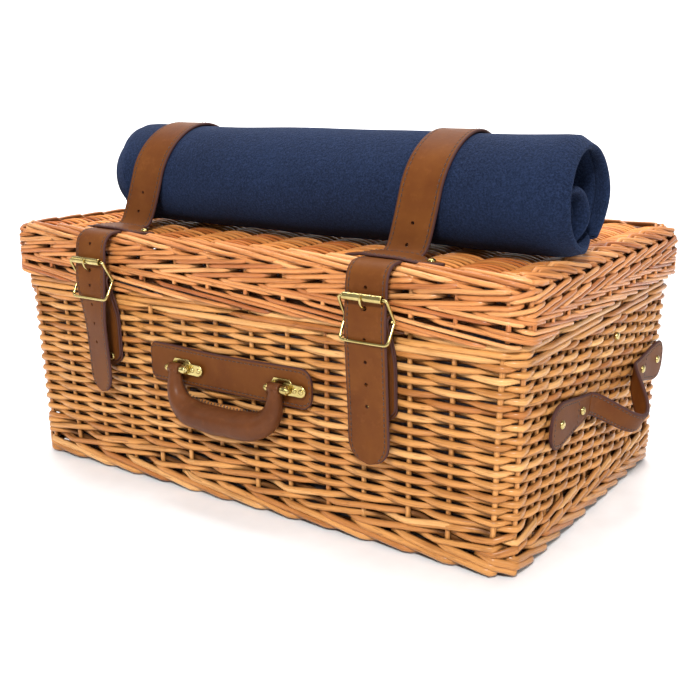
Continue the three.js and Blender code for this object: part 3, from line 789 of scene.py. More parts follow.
def build_straps():
    sideways = np.array([1.0, 0, 0])
    for side, sign in SIDES:
        path = strap_route(side)  # made as one, so that its four stretches meet
        path[:, 0] += sign * STRAP_X
        tangent = tangents(path)
        out = np.cross(tangent, sideways)
        gone = travelled(path)
        left = gone[-1] - gone
        half = STRAP_HALF * rounded_tip(left, 20.0, 0.012)
        half = half * (1 + wobble(len(path), 14, 0.004))
        half = half * rounded_tip(gone, 14.0, 0.012)
        if side == "left":  # this strap's tail hangs a little askew and twisted
            path[:, 0] += 2.0 * smoothstep(120, 0, left)
            turn = math.radians(15) * smoothstep(112, 60, left)[:, None]
            out = out * np.cos(turn) - sideways * np.sin(turn)
        y, z = path[:, 1], path[:, 2]
        top = int(np.argmax(z))
        hinge_end = int(np.argmax(z > HINGE_END_Z))
        front_start = top + int(np.argmax(y[top:] < FRONT_START_Y))
        tail_start = front_start + int(np.argmax(z[front_start:] < TAIL_START_Z))
        cuts = (0, hinge_end, front_start, tail_start, len(path) - 1)
        names = ("hinge_strap", "strap", "strap_front", "strap_tail")
        for name, first, last in zip(names, cuts, cuts[1:]):
            cut = slice(first, last + 1)
            swept = Swept(f"{name}_{side}_leather")
            band(swept, path[cut], out[cut], half[cut], STRAP_THICK)
            piece = swept.build(leather)
            bores = []
            for level in HOLES[side].get(name, ()):
                near = np.abs(z[cut] - level) + np.where(y[cut] < ROLL_Y, 0, 1e3)
                at = first + int(np.argmin(near))
                bores.append((path[at], out[at], PRONG_HOLE if level == PRONG_HOLE_Z else HOLE))
            if bores:
                cut_holes(piece, bores)
            sewn = Swept(f"{name}_{side}_stitches")
            keep = half[cut] > SEWN_HALF
            inset = np.cross(tangent[cut], out[cut]) * (half[cut] - STITCH_INSET)[:, None]
            for edge in (-1, 1):
                line = path[cut] + edge * inset + out[cut] * (STRAP_THICK / 2 - STITCH_SINK)
                stitch_line(sewn, line[keep], out[cut][keep])
            threads = sewn.build(thread)
            for made in (piece, threads):
                hold_strap(made, name)
            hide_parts(f"{name}_{side}")


def hold_strap(piece, name):
    """Says which body a stretch of strap rides on: the lid for the stretch over it; the others keep
    their place baked into their meshes.
    """
    if name == "strap":
        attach(piece, "lid")
        return
    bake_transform(piece)


# ---- buckles ------------------------------------------------------------------------------
BAR_Y, BAR_Z = -186.0, 195.0
WIRE = 1.25  # the wire's radius
ROLLER_Y, ROLLER_Z = -195.8, 213.0
LOW_Y, LOW_Z = -194.4, 178.0
FRAME_HALF = 22.0


def frame_path():
    """The middle line of a buckle's wire, bent away from the wall at its top and bottom."""
    w = FRAME_HALF
    half = [(0, ROLLER_Y, ROLLER_Z), (w - 4, ROLLER_Y, ROLLER_Z),
            (w - 0.6, ROLLER_Y + 0.1, ROLLER_Z - 0.4), (w, ROLLER_Y + 1.6, ROLLER_Z - 4),
            (w, BAR_Y - 1.4, BAR_Z + 3), (w + 0.3, BAR_Y + 0.3, BAR_Z),
            (w, BAR_Y - 1.4, BAR_Z - 3), (w, LOW_Y + 1.6, LOW_Z + 4),
            (w - 0.9, LOW_Y + 0.1, LOW_Z + 0.6), (w - 5, LOW_Y, LOW_Z), (0, LOW_Y, LOW_Z)]
    mirrored = [(-x, y, z) for x, y, z in half[::-1][1:]]
    return smooth_path(half + mirrored, 0.8, 3)


def c_section(outer, inner, gap_degrees, turn, sides=28):
    """A rolled tube's section: two arcs joined at a narrow seam."""
    first, last = math.radians(turn + gap_degrees), math.radians(turn + 360 - gap_degrees)
    angles = np.linspace(first, last, sides)
    arc = np.stack([np.cos(angles), np.sin(angles)], -1)
    return np.vstack([arc * outer, arc[::-1] * inner])


def build_buckles():
    for side, sign in SIDES:
        x = sign * STRAP_X
        wire = Swept(f"buckle_frame_{side}_wire")
        loop = frame_path()
        loop[:, 0] += x
        wire.rod(loop[:-1], (0, -0.6, 0.8), WIRE, 1.0, 14, 0.4, closed=True)
        xs = np.linspace(x - FRAME_HALF, x + FRAME_HALF, 20)
        bar = np.column_stack([xs, np.full(20, BAR_Y), np.full(20, BAR_Z)])
        wire.rod(bar, (0, 0, 1), WIRE, 1.0, 14, 0.5)
        wire.finish(brass, f"buckle_{side}", "brass", f"buckle_frame_{side}")

        roll = Swept(f"buckle_roller_{side}_tube")
        section = c_section(3.25, 2.35, 3.2, -60)
        sizes = ((-17.5, 0.93), (-17.2, 0.985), (-16.5, 1), (0, 1), (16.5, 1), (17.2, 0.985),
                 (17.5, 0.93))
        roll.rings(np.array([np.column_stack([np.full(len(section), x + at),
                                              ROLLER_Y + section[:, 0] * size,
                                              ROLLER_Z + section[:, 1] * size])
                             for at, size in sizes]), 0.6)
        roll.finish(brass, f"roller_{side}", "brass", f"buckle_roller_{side}")

        prong = Swept(f"buckle_prong_{side}_pin")
        turn = np.radians(np.linspace(-200, 62, 16))
        eye = [(x, BAR_Y - 2.75 * math.cos(a), BAR_Z + 2.75 * math.sin(a)) for a in turn]
        shank = [(x, BAR_Y - out, BAR_Z + up) for out, up in
                 ((2.9, 5.0), (5.4, 8.4), (9.2, 9.8), (12.6, 12.8), (14.1, 17.0), (13.8, 21.4))]
        path = smooth_path(eye + shank, 0.7, 2)
        size = 0.85 * (1 - 0.4 * smoothstep(0.9, 1, np.linspace(0, 1, len(path))))
        prong.rod(path, (1, 0, 0), size, 1.1, 12, 0.5)
        prong.finish(brass, f"prong_{side}", "brass", f"buckle_prong_{side}")

        build_billet(side, x)


def build_billet(side, x):
    """The leather that holds the buckle: riveted to the wall and folded round the centre bar."""
    def wall(z, lift):
        return -wall_half(z)[1] - lift

    outer = [(wall(z, 1.6), z) for z in (111, 140, 160)]
    outer += [(-179, 172), (-182.6, 181), (-184.6, 187), (-183.4, 192), (-182.9, 196),
              (-184.2, 198.4), (-187.0, 198.6)]
    inner = [(-189.4, 196.6), (-189.2, 192.5), (-187.4, 188), (-185.6, 181), (-182.6, 172.5)]
    inner += [(wall(z, 3.9), z) for z in (160, 140, 114)]
    points = smooth_path(outer + inner, 1.6, 2)
    path = np.column_stack([np.full(len(points), float(x)), points])
    out = np.cross(tangents(path), np.array([1.0, 0, 0]))
    gone = travelled(path)
    half = STRAP_HALF * rounded_tip(np.minimum(gone, gone[-1] - gone), 12, 0.02)
    swept = Swept(f"billet_{side}_leather")
    band(swept, path, out, half, 2.0)
    piece = swept.finish(leather, "basket", "leather", f"billet_{side}")
    cut_box(piece, (x, -186.5, 195.5), np.array((5.4, 9.5, 9.6)))  # the prong's slot
    for name, offset, nodes in (("outer", 8.0, [f"billet_rivet_{side}"]), ("inner", -8.0, [])):
        add_rivet(f"billet_rivet_{side}_{name}", (x + offset, wall(121.0, 5.0), 121.0),
                  (0, -1, -0.04), "basket", nodes)


def add_rivet(name, place, direction, body, nodes, radius=3.6, height=2.3):
    """A domed head with a small flat and a pressed rim."""
    direction = unit(np.asarray(direction, float))
    helper = np.array([0.0, 0, 1]) if abs(direction[2]) < 0.9 else np.array([0.0, 1, 0])
    right = unit(np.cross(helper, direction))
    up = np.cross(direction, right)
    profile = ((0.2, -0.6), (0.97, -0.6), (1.0, 0.1), (0.99, 0.32), (0.93, 0.5), (0.82, 0.72),
               (0.66, 0.88), (0.46, 0.97), (0.36, 0.96), (0.30, 0.90), (0.12, 0.89))
    angle = np.arange(24)[:, None] / 24 * 2 * math.pi
    swept = Swept(name)
    swept.rings(np.array([place + direction * (h * height)
                          + radius * r * (np.cos(angle) * right + np.sin(angle) * up)
                          for r, h in profile]), 0.5)
    swept.finish(brass, body, "brass", *nodes)


# ---- handles ------------------------------------------------------------------------------
LEAN_ANGLE = math.atan2(FLARE, RIM_Z)


class Face:
    """A frame on an outer wall: x runs to the right, up climbs the wall and out leaves it."""

    def __init__(self, origin, right, outward):
        self.origin = np.array(origin, float)
        self.right = np.array(right, float)
        flat_out = np.array(outward, float)
        vertical = np.array([0, 0, 1.0])
        self.up = vertical * math.cos(LEAN_ANGLE) + flat_out * math.sin(LEAN_ANGLE)
        self.out = flat_out * math.cos(LEAN_ANGLE) - vertical * math.sin(LEAN_ANGLE)

    def at(self, x, up, out):
        x, up, out = np.broadcast_arrays(*(np.asarray(v, float) for v in (x, up, out)))
        return (self.origin + x[..., None] * self.right + up[..., None] * self.up
                + out[..., None] * self.out)


front_face = Face((0, -HALF_DEPTH, 0), (1, 0, 0), (0, -1, 0))
side_faces = {side: Face((sign * HALF_WIDTH, 0, 0), (0, sign, 0), (sign, 0, 0))
              for side, sign in SIDES}


def corner_shape(place, length, half, corners):
    """The half width of a band whose ends are rounded off by the two corner radii."""
    result = np.full(len(place), float(half))
    for distance, radius in ((place, corners[0]), (length - place, corners[1])):
        near = distance < radius
        drop = np.maximum(radius ** 2 - (radius - distance[near]) ** 2, 0)
        result[near] = half - radius + np.sqrt(drop)
    return result


def end_dense(length, corners, step):
    """Places along a band, closer together near its rounded ends."""
    near = 1 - np.cos(np.linspace(0, math.pi / 2, 9))
    middle = np.arange(corners[0] + step, length - corners[1], step)
    places = [corners[0] * near, middle, length - corners[1] * near]
    return np.unique(np.round(np.concatenate(places), 4))


def leather_piece(name, path, out, half, thick, body, node, inset=STITCH_INSET):
    """A leather band with stitches near all its edges, on one body."""
    swept = Swept(f"{name}_leather")
    path, out, side, half, thick = band(swept, path, out, half, thick, inset)
    swept.finish(leather, body, "leather", node)
    sewn = Swept(f"{name}_leather_stitches")
    keep = half > np.max(half) * 0.72
    raised = out * (thick / 2 - STITCH_SINK)[:, None]
    for edge in (-1, 1):
        line = path + edge * side * (half - inset)[:, None] + raised
        stitch_line(sewn, line[keep], out[keep])
    for at in np.flatnonzero(keep)[[0, -1]]:
        reach = np.linspace(-1, 1, 12)[:, None] * (half[at] - inset)
        line = path[at] + side[at] * reach + raised[at]
        stitch_line(sewn, line, np.broadcast_to(out[at], line.shape))
    sewn.finish(thread, body, "leather")


PIN_X, PIN_UP, PIN_OUT = 56.0, 124.0, 10.6  # where the grip's pins are


def build_front_plate():
    left, right, low, high = -92.0, 88.0, 107.0, 143.0
    corners = (7.0, 11.0)
    place = end_dense(right - left, corners, 3.0)
    sag = 1.6 * np.sin(math.pi * place / (right - left)) ** 2
    wave = 0.35 * np.sin(place / 9.0) + 0.3 * np.sin(place / 23.0)
    path = front_face.at(left + place, (low + high) / 2 - sag * 0.6, 0.6 + 1.5 + wave * 0.5)
    half = corner_shape(place, right - left, (high - low) / 2, corners) - sag * 0.5
    leather_piece("handle_plate", path, front_face.out, half, 2.6, "basket", "handle_plate")


def build_grip():
    """A padded tube with a sewn ridge along its inner side, between two flat eyes."""
    x, drop, around = PIN_X, 38.5, 26
    route = [(-x, 0, 0), (-x, -9, 0.5), (-x + 1.0, -20, 1.6), (-x + 7, -30, 3.2),
             (-x + 19, -36.5, 4.4), (-x + 38, -drop + 0.1, 4.9), (0, -drop, 5.0)]
    route = route + [(-a, b, c) for a, b, c in route[::-1][1:]]
    local = smooth_path(route, 1.6, 3)
    t = np.linspace(0, 1, len(local))
    path = front_face.at(local[:, 0], PIN_UP + local[:, 1], PIN_OUT + local[:, 2])
    fat = 5.4 + 6.9 * np.minimum(1, np.sin(math.pi * t) * 1.28) ** 1.15
    fat = fat + 0.25 * np.sin(t * 31) * np.sin(math.pi * t)
    tangent = tangents(path)
    inward = square_to(front_face.at(0, PIN_UP - 6, PIN_OUT + 3.0) - path, tangent)
    side_dir = np.cross(tangent, inward)
    angle = np.arange(around) / around * 2 * math.pi
    from_seam = np.minimum(angle, 2 * math.pi - angle)
    ridge = 0.9 * np.exp(-(from_seam / 0.11) ** 2)
    dip = 0.35 * np.exp(-((from_seam - 0.3) / 0.1) ** 2)
    rings = []
    for p, i, s, r in zip(path, inward, side_dir, fat):
        size = (r + ridge - dip)[:, None]
        rings.append(p + size * (np.cos(angle)[:, None] * i + np.sin(angle)[:, None] * s))
    swept = Swept("front_handle_grip")
    swept.rings(np.array(rings))
    for sign in (-1, 1):
        xs = sign * x + np.array([-5.7, -5.6, -5.0, 5.0, 5.6, 5.7])
        sizes = np.array([3.9, 4.5, 5.0, 5.0, 4.5, 3.9])
        swept.rod(front_face.at(xs, PIN_UP, PIN_OUT), front_face.out, sizes, 1.0, 24)
    piece = swept.finish(grip_leather, "front_handle", "leather", "front_handle")
    sewn = Swept("front_handle_stitches")
    keep = slice(6, len(path) - 6)
    turn = -0.42  # round from the seam
    line = path + (fat[:, None] + 0.05) * (math.cos(turn) * inward + math.sin(turn) * side_dir)
    stitch_line(sewn, line[keep], (line - path)[keep], 3.6, 2.3, 0.34, -0.05)
    sewn.finish(thread, "front_handle", "leather")


def flat_plate(swept, face, outline, low, high, round_off=0.35):
    """A thin metal plate with eased edges; outline is (x, up) pairs, anticlockwise."""
    outline = np.array(outline, float)
    middle = outline.mean(axis=0)
    reach = np.linalg.norm(outline - middle, axis=1, keepdims=True)
    shrunk = middle + (outline - middle) * (1 - round_off / reach)
    levels = ((shrunk, low), (outline, low + round_off), (outline, high - round_off),
              (shrunk, high))
    swept.rings(np.array([face.at(o[:, 0], o[:, 1], lift) for o, lift in levels]))


def rounded_end(x0, x1, up0, up1, radius, points=7):
    """Corner points of a rectangle whose right end is rounded, anticlockwise."""
    outline = [(x0, up0), (x1 - radius, up0)]
    for centre, first in (((x1 - radius, up0 + radius), -90), ((x1 - radius, up1 - radius), 0)):
        for k in range(points):
            a = math.radians(first + 90 * k / (points - 1))
            outline.append((centre[0] + radius * math.cos(a), centre[1] + radius * math.sin(a)))
    return outline + [(x0, up1)]


def build_bracket(side, x):
    face = Face(front_face.at(x, PIN_UP, 0), (1, 0, 0), (0, -1, 0))
    swept = Swept(f"handle_bracket_{side}_plate")
    outline = [(-10, -6), (15, -6), (15, 2), (11, 7.6), (-5.5, 7.6), (-10, 1)]
    flat_plate(swept, face, outline, 3.5, 5.0)
    flat_plate(swept, face, rounded_end(6.5, 28.5, -5.2, 5.2, 5.0), 5.1, 7.6, 0.7)
    flat_plate(swept, face, rounded_end(6.8, 13.2, -4.0, 4.0, 1.0), 7.5, PIN_OUT, 0.5)
    flat_plate(swept, face, rounded_end(-9.4, -6.6, -3.2, 3.2, 0.9), 4.8, PIN_OUT - 0.2, 0.5)
    for first, last, size in ((6.6, 13.4, 3.9), (-9.6, -6.5, 3.5)):
        xs = np.array([first, first + 0.2, first + 0.9, last - 0.9, last - 0.2, last])
        sizes = size * np.array([0.72, 0.9, 1, 1, 0.9, 0.72])
        swept.rod(face.at(xs, 0, PIN_OUT), face.out, sizes, 1.0, 22)
    swept.finish(brass, "basket", "brass", f"handle_bracket_{side}")

    pin = Swept(f"handle_pin_{side}_rod")
    xs = -12.0 + 27.2 * np.linspace(0, 1, 26)
    ends = np.minimum(xs + 12.0, 15.2 - xs)
    domed = 1 - np.sqrt(np.clip(ends / 2.4, 0.01, 1))
    sizes = 2.1 + 0.9 * smoothstep(4.2, 2.4, ends) - 2.7 * domed
    pin.rod(face.at(xs, 0, PIN_OUT), face.out, np.maximum(sizes, 0.3), 1.0, 18)
    pin.finish(brass, "basket", "brass", f"handle_pin_{side}")
    for k, along in enumerate((17.5, 24.5)):
        add_rivet(f"bracket_rivet_{side}_{k}", face.at(along, 0, 7.7), face.out, "basket", [],
                  2.3, 1.1)


# a side handle, in its wall's frame: its middle, half the strap's span, its two pads and the
# strap, whose middle stands out by SIDE_OUT, hangs down by SIDE_DROP and tips over by SIDE_TIP
SIDE_MIDDLE, SIDE_SPAN, PAD_LENGTH, PAD_HALF, SIDE_UP = 20.0, 59.0, 78.0, 19.0, 111.0
SIDE_HALF, SIDE_THICK, SIDE_TOP, SIDE_OUT, SIDE_DROP = 10.0, 3.4, 121.0, 27.0, 26.0
SIDE_TIP = math.radians(28.0)


def side_point(t):
    """Where the middle line of the drooping side strap is, as (x, up, out)."""
    bulge = np.sin(math.pi * np.clip(t, 0, 1)) ** 1.6
    x = -SIDE_SPAN + 2 * SIDE_SPAN * t
    return x, SIDE_TOP - SIDE_HALF - bulge * SIDE_DROP, GAP + SIDE_THICK / 2 + bulge * SIDE_OUT


def build_side_pad(side, row, face, middle, end):
    corners = (15.0, 9.0)
    place = end_dense(PAD_LENGTH, corners, 2.5)
    half = corner_shape(place, PAD_LENGTH, PAD_HALF, corners)
    neck = np.clip((place - 22) / (PAD_LENGTH - 25), 0, 1)
    half = half * (1 - neck) + np.minimum(half, SIDE_HALF) * neck
    x = middle + end * (SIDE_SPAN + PAD_LENGTH - place)
    path = face.at(x, SIDE_UP - 2.0 * (1 - neck), 2.1 + 0.2 * np.sin(place / 8.0))
    leather_piece(f"side_pad_{side}_{row}", path, face.out, half, 3.0, "basket",
                  f"side_pad_{side}_{row}")
    for where, offset in (("inner", 17.0), ("outer", 60.0)):
        rivet = f"side_rivet_{side}_{row}_{where}"
        add_rivet(f"{rivet}_head", face.at(middle + end * (SIDE_SPAN + offset), SIDE_UP - 1, 3.7),
                  face.out, "basket", [rivet], 3.7, 2.2)


def build_side_strap(side, row, face, middle, end):
    """One end's half of the strap, curving out and down from where it leaves the pad."""
    t = np.linspace(0.0, 0.5, 40)
    x, up, out = side_point(t)
    path = face.at(middle - end * x, up, out)
    slope = tangents(path)
    vertical = square_to(face.up, slope)
    outward = np.cross(slope, vertical)
    outward *= np.sign((outward * face.out).sum(-1, keepdims=True))
    tip = SIDE_TIP * np.sin(math.pi * t)[:, None]
    vertical, outward = (vertical * np.cos(tip) + outward * np.sin(tip),
                         outward * np.cos(tip) - vertical * np.sin(tip))
    swept = Swept(f"side_strap_{side}_{row}")
    band(swept, path, outward, SIDE_HALF, SIDE_THICK)
    piece = swept.build(leather)
    sewn = Swept(f"side_strap_{side}_{row}_stitches")
    for edge in (-1, 1):
        line = path + vertical * edge * (SIDE_HALF - 3.0) + outward * (SIDE_THICK / 2 - STITCH_SINK)
        stitch_line(sewn, line, outward)
    start = face.at(middle + end * (SIDE_SPAN + 0.2), SIDE_TOP, GAP) * MM
    finish = face.at(middle + end * (SIDE_SPAN - 26), SIDE_TOP, GAP) * MM
    for made in (piece, sewn.build(thread)):
        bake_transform(made)
    if row == "front":
        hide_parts(f"side_handle_{side}")


def build_side_handles():
    for side, sign in SIDES:
        face = side_faces[side]
        middle = sign * SIDE_MIDDLE
        for row, end in (("front", -sign), ("back", sign)):
            build_side_pad(side, row, face, middle, end)
            build_side_strap(side, row, face, middle, end)
        add_rivet(f"wall_stud_{side}_head", face.at(middle, 157, 0.8), face.out, "basket",
                  [f"wall_stud_{side}"], 3.6, 2.4)


KEEPER_Y = -157.5


def build_keepers():
    """The short cross strap that holds each long strap down near the lid's front edge."""
    low = LID_TOP + 1.6
    top = STRAP_REST + STRAP_THICK / 2 + 0.3 + 1.1
    points = [(-44, low - 1.6), (-38, low - 0.2), (-30, low + 0.6), (-23, low + 2.2), (-17.5, top),
              (0, top + 0.3), (17.5, top), (23, low + 1.9), (30, low + 0.1), (48, low - 0.4)]
    x, z = smooth_path(points, 1.5, 2).T
    y = KEEPER_Y + 0.12 * np.abs(x) * (x < 0)
    half = 13.0 * np.clip(1 - (-12 - x) / 38, 0.16, 1)
    half *= np.clip(1 - (np.maximum(x - 18, 0) / 33) ** 1.25, 0.08, 1)
    for side, sign in SIDES:
        path = np.column_stack([sign * STRAP_X + x, y, z])
        leather_piece(f"keeper_{side}", path, (0, 0, 1), half, 2.2, "lid", f"keeper_{side}", 2.6)
        add_rivet(f"keeper_stud_{side}_head", (sign * STRAP_X + 37, KEEPER_Y, low + 1.2), (0, 0, 1),
                  "lid", [f"keeper_stud_{side}"], 3.5, 2.3)


# ---- blanket ------------------------------------------------------------------------------
def fleece_material():
    n = Nodes("navy_fleece")
    where = n.coordinates()
    cloud = n.noise(where, 14.0, 3.0)
    nap = n.noise(where, 620.0, 5.0, 0.75)
    pill = n.noise(where, 330.0, 3.0, 0.6)
    base = n.ramp(cloud, (0.3, rgb(11, 19, 36)), (0.7, rgb(16, 28, 50)))
    raised = n.ramp(nap, (0.42, (0, 0, 0)), (0.66, (0.62, 0.62, 0.62)))
    colour = n.mix(raised, base, rgb(42, 56, 88))
    height = n.math("ADD", n.math("MULTIPLY", nap, 0.6), n.math("MULTIPLY", pill, 0.8))
    n.set(Base_Color=colour, Roughness=0.95, Normal=n.bump(height, 0.0014, 1.0))
    n.set(Sheen_Weight=0.16, Sheen_Roughness=0.5, Sheen_Tint=rgb(120, 140, 190))
    n.set(Specular_IOR_Level=0.12)
    return n.material


PLY = 2.5  # distance between the three folded layers of the blanket
TURNS = 3.05
# the roll's section at each turn from the outside in: its half sizes and its middle
SECTION_TURN = (0.0, 0.78, 0.95, 1.1, 1.6, 1.85, 2.1, 2.35, 2.7, 3.05)
SECTION_Y = (45.4, 45.4, 43.0, 38.0, 37.2, 33.0, 22.5, 20.5, 18.5, 12.0)
SECTION_Z = (43.9, 43.9, 42.0, 36.8, 36.2, 30.0, 21.0, 20.5, 18.5, 12.0)
SHIFT_Y = (0.0, 0.0, -0.4, 0.0, -1.0, -5.0, -13.0, -13.5, -13.5, -14.0)
SHIFT_Z = (0.0, 0.0, 1.0, 0.0, -0.6, -6.0, -15.5, -14.0, -13.5, -14.0)
# how far the right end of the band is set back at each turn
RECESS_TURN = (0.0, 0.15, 0.28, 0.42, 0.6, 0.85, 0.98, 1.1, 1.7, 1.95, 2.1, 2.4, 3.05)
RECESS = (3.0, -0.5, 0.5, 2.0, -0.5, -2.0, 6.0, 34.0, 34.0, 12.0, 3.0, 6.0, 22.0)


def roll_section(turn):
    """The middle of the folded band at each turn, as (y, z) from the roll's own middle. It winds
    from the outside, low at the back, to the loose loop inside, low at the front."""
    angle = -0.30 * math.pi + 2 * math.pi * turn
    half_y, half_z, shift_y, shift_z = (np.interp(turn, SECTION_TURN, values)
                                        for values in (SECTION_Y, SECTION_Z, SHIFT_Y, SHIFT_Z))
    return shift_y + half_y * np.cos(angle), shift_z + half_z * np.sin(angle)


def softened(values, width):
    """The values with their corners smoothed along the first axis."""
    kernel = np.hanning(width + 2)[1:-1]
    padded = np.pad(values, (width // 2, width // 2), mode="edge")
    return np.convolve(padded, kernel / kernel.sum(), "valid")[:len(values)]


def build_blanket():
    steps = 260
    turn = np.linspace(0, TURNS, steps)
    for _ in range(2):  # once to measure the band, once at even steps along it
        y, z = roll_section(turn)
        centre = np.stack([softened(y, 9), softened(z, 9)], -1)
        gone = travelled(centre)
        turn = np.interp(np.linspace(0, gone[-1], steps), gone, turn)
    tangent = tangents(centre)
    normal = np.stack([tangent[:, 1], -tangent[:, 0]], -1)
    normal *= np.sign((normal * centre).sum(-1).mean())

    left, right = roll_low[0] + 2.0, roll_high[0] - 2.0
    width = right - left
    ends_right = right - softened(np.interp(turn, RECESS_TURN, RECESS), 11)
    ends_left = left + softened(np.interp(turn, RECESS_TURN, RECESS[::-1]), 11) * 0.45

    # the way across the three layers: out, a fold, back, a fold, and out again
    fold = np.linspace(-math.pi / 2, math.pi / 2, 7)[1:-1]
    across, level = [], []
    near_end = 0.5 - 0.5 * np.cos(np.linspace(0, math.pi, 40))
    run = 0.35 * near_end + 0.65 * np.linspace(0, 1, 40)
    for layer, (at, end, way) in enumerate(((run, 1.0, 1), (run[::-1], 0.0, -1))):
        across += [*at, *(end + way * 1.3 * np.cos(fold) * PLY / width)]
        level += [1.0 - layer] * len(at) + [*(0.5 - layer - 0.5 * np.sin(fold))]
    across = np.array(across + [*(run * 0.982)])
    level = np.array(level + [-1.0] * len(run))
    x = ends_left[:, None] + (ends_right - ends_left)[:, None] * across[None]
    from_end = np.minimum(np.clip(across, 0, 1), np.clip(1 - across, 0, 1)) * width
    puff = 1 + 0.35 * np.exp(-(from_end / 9) ** 2)
    lift = level * PLY * puff
    base_y, base_z = (centre[:, k][:, None] + normal[:, k][:, None] * lift for k in (0, 1))

    # soft waves, the pull of the straps, and the edges curling in at both ends
    radius = np.hypot(base_y, base_z)
    angle = np.arctan2(base_z, base_y)
    outer = smoothstep(0.70, 0.95, radius / 46)
    wave = 0.9 * np.sin(x / 41 + 2.2 * np.sin(angle * 2)) + 0.7 * np.sin(x / 23 - 3 * angle)
    pull = np.zeros_like(x)
    over = np.clip((base_z + ROLL_HALF_Z) / (2 * ROLL_HALF_Z), 0, 1)
    for side, sign in SIDES:
        pull += np.exp(-((x - (sign * STRAP_X + LEAN[side] * over)) / 22) ** 4)
    grow = (0.3 + 0.55 * wave) * (1 - pull) - 0.5 * pull
    to_right, to_left = x - (right - 16), (left + 22) - x
    curl = 7.0 * smoothstep(0, 17, to_right) ** 2 * (0.8 + 0.2 * np.sin(angle))
    curl += 5.0 * smoothstep(0, 22, to_left) ** 2
    grow = (grow - curl) * outer
    scale = 1 + grow / np.maximum(radius, 8)
    base_y, base_z = base_y * scale, base_z * scale
    base_z = np.maximum(base_z, -ROLL_HALF_Z + 1.6)

    points = np.stack([x, base_y + ROLL_Y, base_z + ROLL_Z], -1)
    mesh = bpy.data.meshes.new("blanket_roll")
    rows, cols, _ = points.shape
    index = np.arange(rows * cols).reshape(rows, cols)
    quads = np.stack([index[:-1, :-1], index[:-1, 1:], index[1:, 1:], index[1:, :-1]], -1)
    mesh.from_pydata((points.reshape(-1, 3) * MM).tolist(), [], quads.reshape(-1, 4).tolist())
    mesh.materials.append(fleece_material())
    shade_smooth(mesh)
    piece = add_object("blanket_roll", mesh)
    thicken = piece.modifiers.new("thickness", "SOLIDIFY")
    thicken.thickness = 2.2 * MM
    thicken.offset = 0
    declare(piece, "blanket", "fleece", "blanket")


# ---- lining -------------------------------------------------------------------------------
def cotton_material():
    n = Nodes("grey_cotton")
    where = n.coordinates()
    weft, warp = (n.node("ShaderNodeTexWave", Vector=where, Scale=380.0, Distortion=1.0,
                         wave_type="BANDS", bands_direction=way).outputs["Fac"]
                  for way in ("Z", "DIAGONAL"))
    cloth = n.math("MULTIPLY", weft, warp)
    cloud = n.noise(where, 22.0, 3.0)
    colour = n.ramp(cloud, (0.3, rgb(136, 130, 140)), (0.7, rgb(168, 162, 172)))
    colour = n.mix(n.math("MULTIPLY", cloth, 0.25), colour, rgb(196, 190, 198))
    # painted shade: the lining's side that faces the weave is painted dark brown, most strongly
    # below about 11 cm, as the shade seen through the gaps between rods
    height = n.node("ShaderNodeSeparateXYZ", where).outputs["Z"]
    low_down = n.ramp(n.math("MULTIPLY_ADD", cloud, 0.06, height),
                      (0.11, (0.93, 0.93, 0.93)), (0.17, (0.45, 0.45, 0.45)))
    painted_shade = n.math("MULTIPLY", n.attribute("edge"), low_down)
    colour = n.mix(painted_shade, colour, rgb(38, 26, 20))
    n.set(Base_Color=colour, Roughness=0.9, Normal=n.bump(cloth, 0.0003, 0.5))
    n.set(Sheen_Weight=0.15, Specular_IOR_Level=0.2)
    return n.material


def build_lining():
    """The cloth lining: one closed skin that follows the walls and the base, with soft folds."""
    low, high = (corner[2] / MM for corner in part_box("liner"))
    cut, side_steps, levels = 9.0, 16, 14

    def loop(z, inset):
        width, depth = wall_half(z)
        width, depth = width - inset, depth - inset
        corners = np.array([(width - cut, -depth), (width, -depth + cut), (width, depth - cut),
                            (width - cut, depth), (-width + cut, depth), (-width, depth - cut),
                            (-width, -depth + cut), (-width + cut, -depth)])
        t = np.arange(side_steps)[:, None] / side_steps
        points = np.vstack([a * (1 - t) + b * t
                            for a, b in zip(corners, np.roll(corners, -1, axis=0))])
        fold = np.sin(np.arange(len(points)) * 1.9 + z * 0.05) * 0.35 * smoothstep(low, high, z)
        away = np.linalg.norm(points, axis=1, keepdims=True)
        points = points * (1 - (0.35 + fold[:, None]) / away)
        return np.column_stack([points, np.full(len(points), z)])

    floor = low + 0.4
    loops = [loop(z, 12.9) for z in np.linspace(floor, high, levels)]
    loops.append(loop(high + 0.3, 13.5))
    loops += [loop(z, 14.1) for z in np.linspace(high, floor + 1.2, levels)]
    swept = Swept("lining")
    # the skin facing the weave is marked to get the painted shade
    outside = (np.arange(len(loops)) < levels).astype(float)[:, None]
    swept.rings(np.array(loops), edge=outside)
    piece = swept.finish(cotton_material(), "basket", "cotton", "liner")


def build_base():
    base = flat_weave("base_weave", willow, 250, 153, 6.0, 5.6, 2.3, 2.5)
    declare(base, "basket", "willow", "base_panel")


build_straps()
build_buckles()
build_front_plate()
for side, sign in SIDES:
    build_bracket(side, sign * PIN_X)
build_grip()
build_side_handles()
build_keepers()
build_blanket()
build_lining()
build_base()


# ---- floor, lights and camera -------------------------------------------------------------
# the camera's angles, its distance in metres, and the framing in pixels
AZIMUTH, ELEVATION, DISTANCE = math.radians(34.19), math.radians(12.26), 1.0048
IMAGE_SIZE, FOCAL, FRAME_X, FRAME_Y = 700, 1005.6, 6.5, -39.8
SENSOR = 36


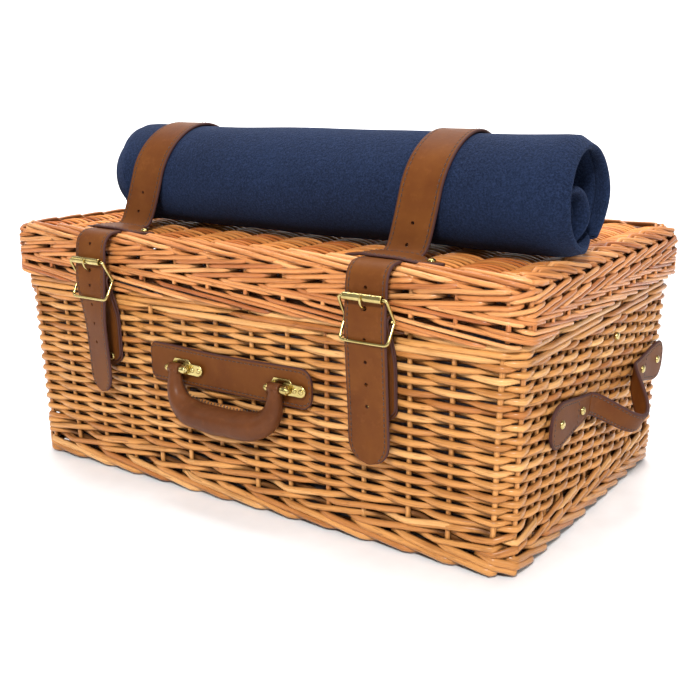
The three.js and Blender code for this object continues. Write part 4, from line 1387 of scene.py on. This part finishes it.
def build_stage():
    """A pale floor, in metres, that bends up into a backdrop behind the basket."""
    mesh = bpy.data.meshes.new("floor")
    size, back, bend_radius, rise = 6.0, 2.6, 1.2, 4.0
    profile = [(-size, 0.0), (back, 0.0)]
    for k in range(1, 13):
        angle = k / 12 * math.pi / 2
        profile.append((back + bend_radius * math.sin(angle), bend_radius * (1 - math.cos(angle))))
    profile.append((back + bend_radius, rise))
    cos, sin = math.cos(AZIMUTH), math.sin(AZIMUTH)
    verts = [(x * cos - y * sin, x * sin + y * cos, z - 0.0002)
             for y, z in profile for x in (-size, size)]
    faces = [(2 * k, 2 * k + 1, 2 * k + 3, 2 * k + 2) for k in range(len(profile) - 1)]
    mesh.from_pydata(verts, [], faces)
    shade_smooth(mesh)
    n = Nodes("floor_paper")
    speck = n.noise(n.coordinates(), 40.0, 3.0)
    colour = n.ramp(speck, (0.3, (0.86, 0.86, 0.865)), (0.7, (0.9, 0.9, 0.905)))
    n.set(Base_Color=colour, Roughness=0.8)
    mesh.materials.append(n.material)
    add_object("floor", mesh)


def area_light(name, place, target, size, power):
    data = bpy.data.lights.new(name, "AREA")
    data.shape = "RECTANGLE"
    data.size, data.size_y = size
    data.energy = power
    lamp = add_object(name, data)
    lamp.location = place
    lamp.rotation_euler = (Vector(target) - Vector(place)).to_track_quat("-Z", "Y").to_euler()


def build_lights():
    world = bpy.data.worlds.new("studio")
    bpy.context.scene.world = world
    world.use_nodes = True
    colour, strength = world.node_tree.nodes["Background"].inputs[:2]
    colour.default_value, strength.default_value = (1, 1, 1, 1), 0.36
    area_light("key", (0.9, -1.9, 1.6), (0, 0, 0.12), (0.36, 0.3), 58)
    area_light("fill", (1.9, -0.5, 1.0), (0, 0, 0.12), (0.9, 0.9), 7)
    area_light("left", (-1.9, -1.2, 1.2), (0, 0, 0.12), (0.9, 0.9), 4)
    area_light("top", (0.0, 0.1, 2.2), (0, 0, 0.1), (1.0, 0.8), 24)
    area_light("backdrop", (-0.7, 1.0, 2.6), (-1.9, 2.9, 0.5), (3.0, 1.0), 190)
    bpy.context.scene.view_settings.view_transform = "Standard"


def build_camera():
    data = bpy.data.cameras.new("camera")
    data.sensor_width = SENSOR
    data.lens = FOCAL / IMAGE_SIZE * SENSOR
    data.shift_x, data.shift_y = FRAME_X / IMAGE_SIZE, FRAME_Y / IMAGE_SIZE
    camera = add_object("camera", data)
    back = Vector((math.sin(AZIMUTH) * math.cos(ELEVATION),
                   -math.cos(AZIMUTH) * math.cos(ELEVATION), math.sin(ELEVATION)))
    camera.location = Vector((0, 0, 0.15)) + back * DISTANCE
    camera.rotation_euler = (-back).to_track_quat("-Z", "Y").to_euler()
    bpy.context.scene.camera = camera


build_stage()
build_lights()
build_camera()
